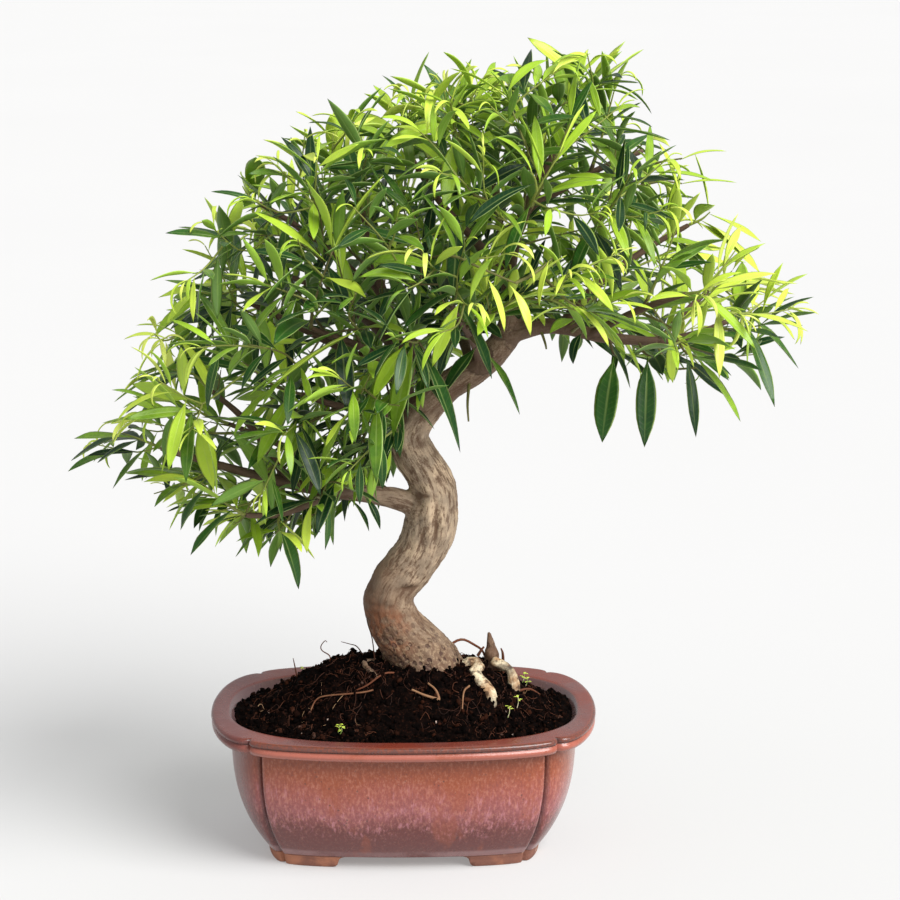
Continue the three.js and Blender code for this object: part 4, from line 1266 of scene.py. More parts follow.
    def spread_left(self, place: Array) -> float:
        """What the crown's round outline, seen from the front, leaves for its depth at a place."""
        x, _, z = (place - self.centre) / self.reach
        return 1 - x**2 - z**2


# Leaves, stems and twigs


class LeafKind(Enum):
    """How old a leaf is, which sets its size and its curl."""

    MATURE = "mature"
    FRESH = "fresh"
    YOUNG = "young"


@dataclass(frozen=True)
class LeafHabit:
    """How one kind of leaf grows; each pair is a least and a most."""

    length: Pair
    ratio: Pair
    bend: Pair
    twist: float
    lift: float


HABITS = {
    LeafKind.MATURE: LeafHabit((25, 42), (0.16, 0.205), (0.05, 0.3), 0.35, -0.14),
    LeafKind.FRESH: LeafHabit((22, 38), (0.13, 0.17), (0.1, 0.55), 0.6, 0.26),
    LeafKind.YOUNG: LeafHabit((13, 31), (0.1, 0.145), (0.35, 1.25), 1.2, 0.22),
}


def kind_of(tone: float) -> LeafKind:
    """The kind of leaf that a tone belongs to.

    Args:
        tone: how young the leaf looks.

    Returns:
        Its kind.
    """
    if tone < 0.3:
        return LeafKind.MATURE
    return LeafKind.FRESH if tone < 0.56 else LeafKind.YOUNG


# Leaves with no stem of their own in the solids: foot, tip, width, bend and tone
LOOSE_LEAVES = (
    ((40.5, -93, 315.6), (48.8, -104, 292.2), 4.4, 0.3, 0.79),
    ((50.4, -95, 313.1), (61.5, -104, 290.2), 4.6, 0.35, 0.84),
    ((70, -90, 323.2), (64.9, -100, 303.4), 4.4, 0.3, 0.79),
    ((79.8, -80, 298.9), (60.2, -90, 293.5), 4.2, 0.4, 0.74),
    ((82.6, -80, 299.9), (99.5, -88, 281.9), 4.4, 0.35, 0.79),
    ((89.7, -30, 277.1), (82.8, -40, 262.4), 5.2, 0.7, 0.1),
    ((132.6, -50, 282.7), (142.8, -60, 266.1), 4.6, 0.3, 0.79),
    ((-44, -62, 199.3), (-47.6, -66, 174.4), 5, 0.3, 0.74),
    ((137.9, -20, 362.2), (160.2, -20, 367.1), 2.6, 0.3, 0.69),
    ((140.1, 0, 347.7), (167.8, 0, 348.7), 2.6, 0.2, 0.64),
    ((-20, -13, 190.5), (-11.6, -18, 174), 5, 0.2, 0.1),
    ((-28, -15, 190), (-17, -20, 173.5), 4.4, 0.3, 0.12),
)
LOOSE_TWIGS = (
    ((8, -60, 318), (23, -86, 325), (37, -92, 320), (54, -95, 313)),
    ((54, -95, 313), (64, -93, 318), (72, -88, 324)),
    ((70, -68, 310), (78, -78, 303), (84, -80, 299)),
    ((86, -9, 274), (89, -22, 279), (90, -30, 277)),
    ((118, -32, 288), (126, -44, 286), (133, -50, 283)),
    ((-40, -28, 192), (-43, -48, 198), (-44, -62, 200)),
    ((112, -8, 352), (126, -16, 360), (139, -20, 363)),
    ((118, 2, 346), (130, 0, 349), (141, 0, 348)),
    ((70, -4, 275), (72.4, -8, 268), (73, -9, 265)),
    ((128, -14, 270), (134.3, -20, 258), (148, -24, 258)),
    ((34, -6, 247), (33, -14, 238), (33.5, -15, 229)),
)


# Tips of further twigs, listed one by one, where the low branch leaves the trunk
HAND_TIPS = ((-19, -20, 219), (-28, -24, 203), (-12, -14, 208), (-40, -30, 208), (-34, -8, 215), (-24, 14, 206),
             (-52, -34, 202), (-64, -36, 176), (-52, -8, 212), (-84, -34, 184), (-44, -36, 232))


@dataclass
class Thicket:
    """Fills the crown with further shoots and leaves, wherever the ones of the solids leave room."""

    growth: Growth
    seed: int = 4
    looks: int = 26000
    skin: float = 42
    skin_gap: float = 11
    dome: float = 85
    inner_share: float = 0.3
    gap: Pair = (15, 25)
    thinning: float = 0.45
    thick_at: float = 35
    thin_from: float = 150
    longest: float = 62
    shortest: float = 13
    leafy: float = 30
    step: float = 3.1
    crowding: float = 1.5
    smallest: float = 0.6
    fringe: float = 0.25
    leaf_room: float = 0.75
    lean: Pair = (1.25, 0.5)
    tip_lean: float = 0.18
    clear: tuple[float, ...] = (5, 10, 16, 23)
    clear_room: float = 3.0
    set_room: float = 1.8
    tries: int = 6
    try_turn: float = 0.4
    try_shorter: float = 0.7
    lean_spread: float = 0.16
    roll_spread: float = 0.5
    most_tips: int = 1500
    limb_forks: tuple[float, float, int] = (0.28, 1, 14)
    shoot_forks: tuple[float, ...] = (0.25, 0.5, 0.75)
    twig_forks: Pair = (0.45, 0.75)
    detour: float = 1.75
    too_short: float = 1000
    sway: float = 0.07
    sag: float = 0.06
    first_owner: int = 1000
    loose_owner: int = 900

    def depth_of(self, p: Array) -> float:
        """How far a point lies below the crown's surface.

        Args:
            p: the point.

        Returns:
            The least of its distances from the roof, from the underside and from the sides.
        """
        g = self.growth
        seen = p[2] + g.front_slope * p[1]
        sides = g.reach[1] * math.sqrt(max(g.spread_left(p), 0)) - abs(p[1])
        return min(height_at(g.crown_top, p[0]) - seen, seen - height_at(g.crown_under, p[0]), sides)

    def tips(self, rng: np.random.Generator) -> Array:
        """Spread points in the crown that no shoot has reached, most of them close under its surface.

        Args:
            rng: the seeded source of chance.

        Returns:
            One row for each new tip.
        """
        grown = [shoot.points[-1] for shoot in self.growth.shoots]
        taken = np.array(grown + [np.zeros(3)] * self.most_tips)
        count = len(grown)
        low, high = vec(-166, -117, 152), vec(205, 117, 419)
        for _ in range(self.looks):
            p = rng.uniform(low, high)
            if not self.growth.in_crown(p):
                continue
            depth = self.depth_of(p)
            roof = height_at(self.growth.crown_top, p[0]) - p[2] - self.growth.front_slope * p[1]
            round_off = math.sqrt(max(1 - (1 - min(roof / self.dome, 1)) ** 2, 0))
            if depth < self.skin_gap or (depth > self.skin and rng.random() > self.inner_share):
                continue
            if abs(p[1]) > self.growth.reach[1] * round_off:
                continue
            aside = abs(p[0] - self.thick_at) / self.thin_from
            gap = mix(*self.gap, min(depth / self.skin, 1)) * (1 + self.thinning * aside**1.5)
            if np.linalg.norm(taken[:count] - p, axis=1).min() > gap:
                taken[count] = p
                count += 1
        return taken[len(grown):count]

    def anchors(self) -> tuple[list[Array], list[str]]:
        """Places on limbs and stems that a new shoot can leave from.

        Returns:
            The places, and the bough of each.
        """
        places, boughs = [], []
        for branch in LIMBS:
            for t in np.linspace(*self.limb_forks):
                places.append(along(branch.points, t))
                boughs.append(branch.bough)
        for shoot in self.growth.shoots:
            for t in self.shoot_forks:
                places.append(along(shoot.points, t))
                boughs.append(shoot.bough)
        return places, boughs

    def leaf_up(self, shoot: Shoot, rng: np.random.Generator) -> None:
        """Sets leaves round the outer part of a shoot, each of the kind that grows at its place.

        Args:
            shoot: the shoot to clothe.
            rng: the seeded source of chance.
        """
        g = self.growth
        length = length_of(shoot.points)
        count = int(np.clip(min(length, self.leafy) / self.step, 4, 10))
        first = max(0.2, 1 - self.leafy / length)
        turn = rng.uniform(0, 2 * math.pi)
        for k in range(count):
            share = 1 if k == count - 1 else (k + 0.5 * rng.random()) / count
            t = mix(first, 1, 1 - (1 - share) ** self.crowding)
            base = along(shoot.points, t)
            ahead = heading(shoot.points, t)
            side, over = frame_of(ahead)
            tone = g.age_and_shade_of(base, share)
            habit = HABITS[kind_of(tone)]
            full = rng.uniform(*habit.length) * mix(1, self.smallest, share**3)
            free = rng.random() < self.fringe and base[2] < g.top - 22
            for attempt in range(self.tries):
                angle = turn + k * GOLDEN_ANGLE + (-1) ** attempt * attempt * self.try_turn
                lean = mix(*self.lean, share) if share < 1 else self.tip_lean
                lean += rng.normal(0, self.lean_spread)
                radial = side * math.cos(angle) + over * math.sin(angle)
                way = unit(ahead * math.cos(lean) + radial * math.sin(lean) + UP * habit.lift)
                size = full * mix(1, self.try_shorter, attempt / (self.tries - 1))
                width, bend = size * rng.uniform(*habit.ratio), rng.uniform(*habit.bend)
                blade = g.blade(base, way, size, width, bend, rng.normal(0, self.roll_spread), tone)
                if not (free or g.in_crown(blade.arc(1))) or not g.in_crown(blade.arc(0.6)):
                    continue
                spots = np.array([blade.arc(t) for t in np.linspace(0.25, 1, 7)])
                if g.room.is_free(spots, self.leaf_room, shoot.owner, g.base_patch):
                    shoot.blades.append(blade)
                    g.room.hold(spots, self.leaf_room + 0.25 * width, shoot.owner)
                    break

    def keep_clear(self) -> None:
        """Holds the places of the listed leaves, and the way from them to the eye."""
        g = self.growth
        lines = [np.linspace(vec(*foot), vec(*tip), 9) for foot, tip, *_ in LOOSE_LEAVES]
        for shoot in g.shoots:
            if shoot.hand:
                for blade in shoot.blades[:len(shoot.hand.leaves)]:
                    lines.append(np.array([blade.arc(t) for t in np.linspace(0.1, 1, 9)]))
        for number, line in enumerate(lines):
            g.room.hold(line, self.set_room, self.loose_owner + number)
            for away in self.clear:
                g.room.hold(line + away * TO_EYE, self.clear_room, self.loose_owner + number)

    def fill(self) -> list[Shoot]:
        """Grows the further shoots, those nearest to the wood first, so that others can leave from them.

        Returns:
            The new shoots, with their leaves.
        """
        rng = np.random.default_rng(self.seed)
        g = self.growth
        self.keep_clear()
        places, boughs = self.anchors()
        tips = np.vstack([np.array(HAND_TIPS, float), self.tips(rng)])
        start = np.array(places)
        order = np.argsort([np.linalg.norm(start - tip, axis=1).min() for tip in tips])
        grown = []
        for owner, tip in enumerate(tips[order], self.first_owner):
            ways = tip - np.array(places)
            lengths = np.linalg.norm(ways, axis=1)
            lead = ways @ unit(tip - g.heart) / lengths
            cost = lengths * (self.detour - lead) + self.too_short * (lengths < self.shortest)
            best = int(np.argmin(cost))
            length = lengths[best]
            if length > self.longest:
                continue
            sway = rng.normal(0, self.sway, 3)
            middle = places[best] + ways[best] * 0.5 + sway * length - UP * self.sag * length
            shoot = Shoot(owner, [places[best], middle, tip], places[best], bough=boughs[best])
            self.leaf_up(shoot, rng)
            grown.append(shoot)
            for t in self.twig_forks:
                places.append(along(shoot.points, t))
                boughs.append(shoot.bough)
        return grown


@dataclass
class Foliage:
    """Leaves as copies of one small closed blade, each shaped by the numbers that its point carries."""

    segments: int = 8
    rings: int = 10
    thickness: float = 0.28
    fold: float = 0.34
    wave: float = 0.12
    waves: float = 8.0
    outline: tuple = ((0, 0.07), (0.1, 0.12), (0.2, 0.45), (0.33, 0.84), (0.48, 1), (0.64, 0.95), (0.8, 0.67),
                      (0.92, 0.28), (1, 0))

    def recipe(self, material: Material) -> Recipe:
        """The node tree that turns points into leaves.

        Args:
            material: the leaves' finish.

        Returns:
            The tree, with its sizes set.
        """
        r = Recipe("leaf_blades")
        segments, rings = r.size("Segments", self.segments), r.size("Rings", self.rings)
        thick, fold = r.size("Half thickness", self.thickness * MM), r.size("Fold", self.fold)
        wave, waves = r.size("Wave", self.wave), r.size("Waves", self.waves)
        ball = r.node("GeometryNodeMeshUVSphere", {"Segments": segments, "Rings": rings, "Radius": 1.0})
        x, y, z = Arrow(r.tree, r.node("GeometryNodeInputPosition").outputs[0]).parts()
        ring = ((x * x + y * y) ** 0.5).most(1e-4)
        shape = r.keep(ball.outputs["Mesh"], "along", (z * -1).reckon("ARCCOSINE") / math.pi)
        shape = r.keep(shape, "across", x / ring)
        shape = r.keep(shape, "face", y / ring)
        feet = r.start.outputs["Geometry"]
        copies = r.node("GeometryNodeInstanceOnPoints", {"Points": feet, "Instance": shape})
        real = r.node("GeometryNodeRealizeInstances", {"Geometry": copies.outputs[0]})
        t, across, face = r.kept("along"), r.kept("across"), r.kept("face")
        length, tone = r.kept("length"), r.kept("shade")
        curl = (r.kept("bend") * 2).most(0.01)
        turned = curl * t
        cosine = (turned + math.pi / 2).sine()
        axis, away = r.kept_arrow("axis"), r.kept_arrow("away")
        rib = r.kept_arrow("foot") + axis * (length * turned.sine() / curl)
        rib = rib + away * (length * (cosine * -1 + 1) / curl)
        ahead = axis * cosine + away * turned.sine()
        under = ahead.cross(r.kept_arrow("side")).unit()
        side = under.cross(ahead)
        twist = r.kept("twist") * t
        side = side * (twist + math.pi / 2).sine() + under * twist.sine()
        under = ahead.cross(side)
        curve = r.node("ShaderNodeFloatCurve", {"Value": t})
        self.draw_outline(curve)
        half = r.kept("width") * 0.5 * Number(r.tree, curve.outputs[0])
        ripple = (t * waves + tone * 20).sine() * across * half * wave
        drop = thick * face - half * fold * across.size() + ripple
        place = rib + side * (half * across) + under * drop
        moved = r.node("GeometryNodeSetPosition", {"Geometry": real.outputs[0], "Position": place})
        r.finish(moved.outputs[0], material)
        return r

    def draw_outline(self, curve: bpy.types.Node) -> None:
        """Gives a curve node the outline of half a leaf.

        Args:
            curve: the node.
        """
        line = curve.mapping.curves[0]
        line.points[0].location, line.points[1].location = self.outline[0], self.outline[-1]
        for place in self.outline[1:-1]:
            line.points.new(*place)
        curve.mapping.update()

    def build(self, name: str, blades: Sequence[Blade], material: Material) -> Piece:
        """Makes the leaves of one bough.

        Args:
            name: the piece's name.
            blades: its leaves.
            material: their finish.

        Returns:
            The piece, as a plain mesh.
        """
        feet = np.array([blade.base for blade in blades])
        piece = mesh_piece(name, feet, [])
        store(piece, "foot", placed(feet))
        for key in ("axis", "away", "side"):
            store(piece, key, np.array([getattr(blade, key) for blade in blades]))
        for key in ("length", "width"):
            store(piece, key, np.array([getattr(blade, key) for blade in blades]) * MM)
        for key in ("bend", "tone", "twist", "shade"):
            store(piece, key, np.array([getattr(blade, key) for blade in blades]))
        piece.data.materials.append(material)
        return self.recipe(material).run(piece)


@dataclass
class Strand:
    """A thin round thing that follows points: a twig, a stem, a root or a fibre."""

    points: Line
    radii: Pair
    tone: float = 0.5
    steps: int = 7


@dataclass
class Strands:
    """Thin round things, each a tube round its own smooth line."""

    sides: int = 6

    def recipe(self, material: Material) -> Recipe:
        """The node tree that turns lines into tubes.

        Args:
            material: their finish.

        Returns:
            The tree, with its sizes set.
        """
        r = Recipe("round_strands")
        sides = r.size("Sides", self.sides)
        lines = r.node("GeometryNodeMeshToCurve", {"Mesh": r.start.outputs["Geometry"]})
        ring = r.node("GeometryNodeCurvePrimitiveCircle", {"Resolution": sides, "Radius": 1.0})
        tubes = r.node("GeometryNodeCurveToMesh", {
            "Curve": lines.outputs[0], "Profile Curve": ring.outputs[0], "Scale": r.kept("thickness"),
            "Fill Caps": True})
        r.finish(tubes.outputs[0], material)
        return r

    def build(self, name: str, strands: Sequence[Strand], material: Material) -> Piece:
        """Makes one piece of many strands.

        Args:
            name: the piece's name.
            strands: their lines, sizes and tones.
            material: their finish.

        Returns:
            The piece, as a plain mesh.
        """
        points, edges, thickness, tones = [], [], [], []
        for strand in strands:
            first = len(points)
            for i in range(strand.steps + 1):
                t = i / strand.steps
                points.append(along(strand.points, t))
                thickness.append(mix(*strand.radii, t) * MM)
                tones.append(strand.tone)
            edges += [(first + i, first + i + 1) for i in range(strand.steps)]
        piece = mesh_piece(name, np.array(points), [], edges=edges)
        store(piece, "thickness", np.array(thickness))
        store(piece, "tone", np.array(tones))
        piece.data.materials.append(material)
        return self.recipe(material).run(piece)


# The wood


@dataclass(frozen=True)
class BarkMark:
    """A swelling or a hollow in the bark: its place, its reach and how far it stands out."""

    place: Place
    reach: Place
    height: float


BARK_MARKS = (
    BarkMark((17, -12, 174.7), (1.5, 9, 9), -1.5),
    BarkMark((13.6, -13, 174.7), (1.7, 9, 10), 1.1),
    BarkMark((20.6, -12, 173), (1.7, 9, 10), 0.9),
    BarkMark((12.2, -11, 189), (3, 8, 1.3), -1.3),
    BarkMark((12.4, -11, 192.4), (4, 8, 2), 1.1),
    BarkMark((8, -12, 187), (1.2, 8, 5), -0.8),
    BarkMark((4.1, -13, 142.6), (3.2, 6, 1.5), 1.4),
    BarkMark((3.6, -13, 139.4), (4.4, 6, 1), -1.0),
    BarkMark((12, -11, 205), (3.6, 7, 2.4), 0.9),
    BarkMark((-15, -9, 137), (7, 9, 1.2), -0.3),
    BarkMark((-14, -9, 130), (8, 9, 1.2), -0.35),
    BarkMark((-13, -9, 124), (9, 9, 1.4), -0.4),
    BarkMark((-4, -16, 112), (3, 6, 2.6), -0.9),
    BarkMark((14, -13, 108), (3.4, 6, 5), 1.1),
    BarkMark((-12, -13, 104), (3, 6, 6), 0.8),
    BarkMark((43.6, 5, 95.5), (1.7, 4, 1.3), -1.0),
    BarkMark((47.9, 5, 98.6), (1.4, 4, 2.2), 1.0),
    BarkMark((46, 5, 103), (1.5, 4, 0.9), -0.7),
    BarkMark((44.5, 6, 100.4), (1.1, 4, 1.4), 0.8),
    BarkMark((48.2, 5, 94), (1.6, 4, 1.1), -0.9),
)


@dataclass(frozen=True)
class Root:
    """A root at the foot of the trunk: its points and its radius at both ends."""

    points: tuple
    radius: Pair

    def core(self) -> Strand:
        """Its round core."""
        return Strand([vec(*p) for p in self.points], self.radius)


BARK_ROOTS = (
    Root(((24, 8, 82), (38, 8, 84), (45, 8, 91), (46.3, 8, 98), (45.8, 8, 104.5), (44.8, 8, 111)), (9.2, 0.9)),
    Root(((-4, 4, 96), (-18, 0, 97.5), (-20, -9, 98.4), (-15, -18, 95.5), (-9, -26, 86)), (2, 1.4)),
)
PALE_ROOTS = (
    Root(((22, 0, 90), (31, 0, 94), (36.5, -1, 96.4), (39.5, -4, 96.2), (36.8, -8, 93.4), (39.5, -13, 90.4),
          (43.6, -17.5, 87.4), (45.6, -21, 84.6), (46, -24, 77)), (4.0, 3.4)),
    Root(((26, 3, 88), (38, 2, 91), (46, 2, 94.2), (51, 1, 95), (55, 0, 93.4), (57.2, -2, 89.5), (58, -4, 80)),
         (2.9, 3.1)),
)


@dataclass
class Wood:
    """Trunk, limbs and roots: one skin drawn over round cores and then given its bark."""

    grain: float = 0.88
    smoothing: int = 5
    swell: float = 0.75
    wrinkle: float = 0.32
    fine: float = 0.13
    step: float = 5.0
    uneven: float = 0.28

    def cores(self) -> list[Strand]:
        """The round cores of the trunk, the limbs and the barked roots."""
        trunk = Strand([vec(*ring[:3]) for ring in TRUNK_RINGS], (0, 0))
        return [trunk, *(Strand(branch.points, branch.radius) for branch in LIMBS), *map(Root.core, BARK_ROOTS)]

    def samples(self, core: Strand, step: float) -> tuple[Array, Array]:
        """Points along a core and the radius at each.

        Args:
            core: the core; the trunk's radii are read from its rings.
            step: distance between points.

        Returns:
            The points and the radii.
        """
        shares = np.linspace(0, 1, max(int(length_of(core.points) / step), 3) + 1)
        points = np.array([along(core.points, t) for t in shares])
        if core.radii == (0, 0):
            rings = np.arange(len(TRUNK_RINGS))
            radii = np.interp(shares * rings[-1], rings, [radius for *_, radius in TRUNK_RINGS])
        else:
            radii = np.array([mix(*core.radii, t**0.8) for t in shares])
        return points, radii

    def skin(self, name: str, cores: Sequence[Strand], grain: float) -> Piece:
        """One closed skin round several cores.

        Args:
            name: the piece's name.
            cores: round cores that touch each other.
            grain: size of the skin's faces.

        Returns:
            The piece.
        """
        bodies = []
        for core in cores:
            points, radii = self.samples(core, min(self.step, 1.5 * core.radii[0] or self.step))
            if 0 < radii[0] < 5.5 and name != "trunk_and_limbs":
                radii = radii * (1 + self.uneven * rough(points, 0.24))
            bodies.append(tube(points, radii, 16))
        piece = mesh_piece(name, *joined(bodies))
        remesh = piece.modifiers.new("skin", "REMESH")
        remesh.mode = "VOXEL"
        remesh.voxel_size = grain * MM
        remesh.use_smooth_shade = True
        smooth = piece.modifiers.new("smooth", "SMOOTH")
        smooth.factor = 0.5
        smooth.iterations = self.smoothing
        evaluated_mesh(piece)
        return piece

    def bark(self, piece: Piece, cores: Sequence[Strand], strength: float = 1.0) -> None:
        """Gives a skin its swellings, wrinkles and marks, and keeps where each point lies on its core.

        Args:
            piece: the skin.
            cores: the cores that it was drawn over.
            strength: share of the full relief.
        """
        mesh = piece.data
        count = len(mesh.vertices)
        places, normals = np.empty(count * 3), np.empty(count * 3)
        mesh.vertices.foreach_get("co", places)
        mesh.vertices.foreach_get("normal", normals)
        places = places.reshape(-1, 3) / MM - POT_PLACE
        normals = normals.reshape(-1, 3)
        spine, frames, runs, girths = [], [], [], []
        for core in cores:
            points, radii = self.samples(core, 1.0)
            spine += list(points)
            frames += list(frames_along(points))
            girths += list(radii)
            run = 0.0
            for i, p in enumerate(points):
                run += float(np.linalg.norm(p - points[i - 1])) if i else 0.0
                runs.append(run)
        tree = KDTree(len(spine))
        for i, p in enumerate(spine):
            tree.insert(p, i)
        tree.balance()
        nearest = np.array([tree.find(p)[1] for p in places])
        spine, frames, runs, girths = map(np.array, (spine, frames, runs, girths))
        offset = places - spine[nearest]
        local = np.einsum("ijk,ik->ij", frames[nearest], offset)
        local[:, 2] += runs[nearest]
        girth = girths[nearest]
        thick = np.clip(girth / 9, 0.15, 1.3)
        lines = local * vec(0.9, 0.9, 0.13)
        rings = local * vec(0.16, 0.16, 0.75)
        relief = self.swell * thick * rough(places, 0.055)
        relief += self.wrinkle * thick * (rough(lines, 0.5) - 0.6 * np.abs(rough(rings, 0.8)))
        relief += self.fine * np.minimum(thick, 1) * rough(places, 1.1, 2)
        for mark in BARK_MARKS:
            away = (places - mark.place) / mark.reach
            relief += mark.height * np.exp(-0.5 * (away**2).sum(axis=1))
        moved = places + normals * (strength * relief)[:, None]
        mesh.vertices.foreach_set("co", placed(moved).ravel())
        mesh.update()
        store(piece, "grain", local * MM)
        store(piece, "girth", girth / 14)
        store(piece, "relief", relief)

    def build(self, bark: Material, pale: Material) -> list[Piece]:
        """Makes the wood and the pale roots.

        Args:
            bark: finish of the trunk and the limbs.
            pale: finish of the bare roots.

        Returns:
            The two pieces.
        """
        cores = self.cores()
        trunk = self.skin("trunk_and_limbs", cores, self.grain)
        self.bark(trunk, cores)
        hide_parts("trunk")
        bare = [root.core() for root in PALE_ROOTS]
        roots = self.skin("pale_roots", bare, 0.45)
        self.bark(roots, bare, 1.6)
        return [finish_piece(trunk, bark), finish_piece(roots, pale)]


# The soil


# Roots on the soil: places as x, y and the height over the soil, then radii and tone
SOIL_STRANDS = (
    (((-38.7, 10, -1), (-38.9, 10, 3), (-42.9, 12, 8), (-43.4, 12, 10.9), (-41.3, 12, 12.4), (-40.2, 12, 11)),
     (0.4, 0.2), 0.3),
    (((-20.8, 10, -1), (-24.5, 12, 3.6), (-28.2, 14, 6), (-32.9, 14, 8.8)), (0.35, 0.18), 0.2),
    (((-14.8, -2, -1), (-16.4, 2, 12), (-18.9, 2, 21), (-19.9, 0, 32)), (0.35, 0.18), 0.2),
    (((-56.1, 10, -1), (-57.6, 10, 8.3), (-58.1, 10, 11)), (0.45, 0.15), 0.25),
    (((22.9, 10, -1), (25, 10, 5.4), (30.8, 12, 8), (37.1, 12, 7.6), (41.8, 10, 5.6), (44, 9.5, -1)),
     (0.8, 0.6), 0.5),
    (((39, 8, 3), (41, 7.5, 7), (42.3, 8, 9)), (0.9, 0.5), 0.35),
    (((52.2, 8, -1), (52.2, 8, 9.5), (51.2, 8, 13)), (1.1, 0.4), 0.3),
    (((-48.1, -27.4, 0), (-45.1, -23.2, 0.7), (-39.9, -23.9, 0.8), (-26.4, -26.9, 0.8), (-16.1, -27.2, 0.6),
      (-10, -24, -1)), (0.35, 0.5), 0.55),
    (((4.4, -27.6, 0.8), (10.6, -30, 1.4), (18.8, -31.6, 0.8)), (0.6, 0.9), 0.64),
    (((18.8, -31.2, -0.4), (16.7, -28.4, 1.4), (12.7, -24.2, 0.8)), (0.8, 0.5), 0.62),
    (((-2, -16, -1), (-10, -21, 1.2), (-19, -24.5, 0.9), (-27, -24, -1)), (0.6, 0.4), 0.45),
    (((34, -18, -1), (31, -26, 1.2), (30, -34, -1)), (0.6, 0.4), 0.6),
    (((60, -4, -1), (66, 0, 0.7), (72, 6, -1)), (0.8, 0.5), 0.4),
)


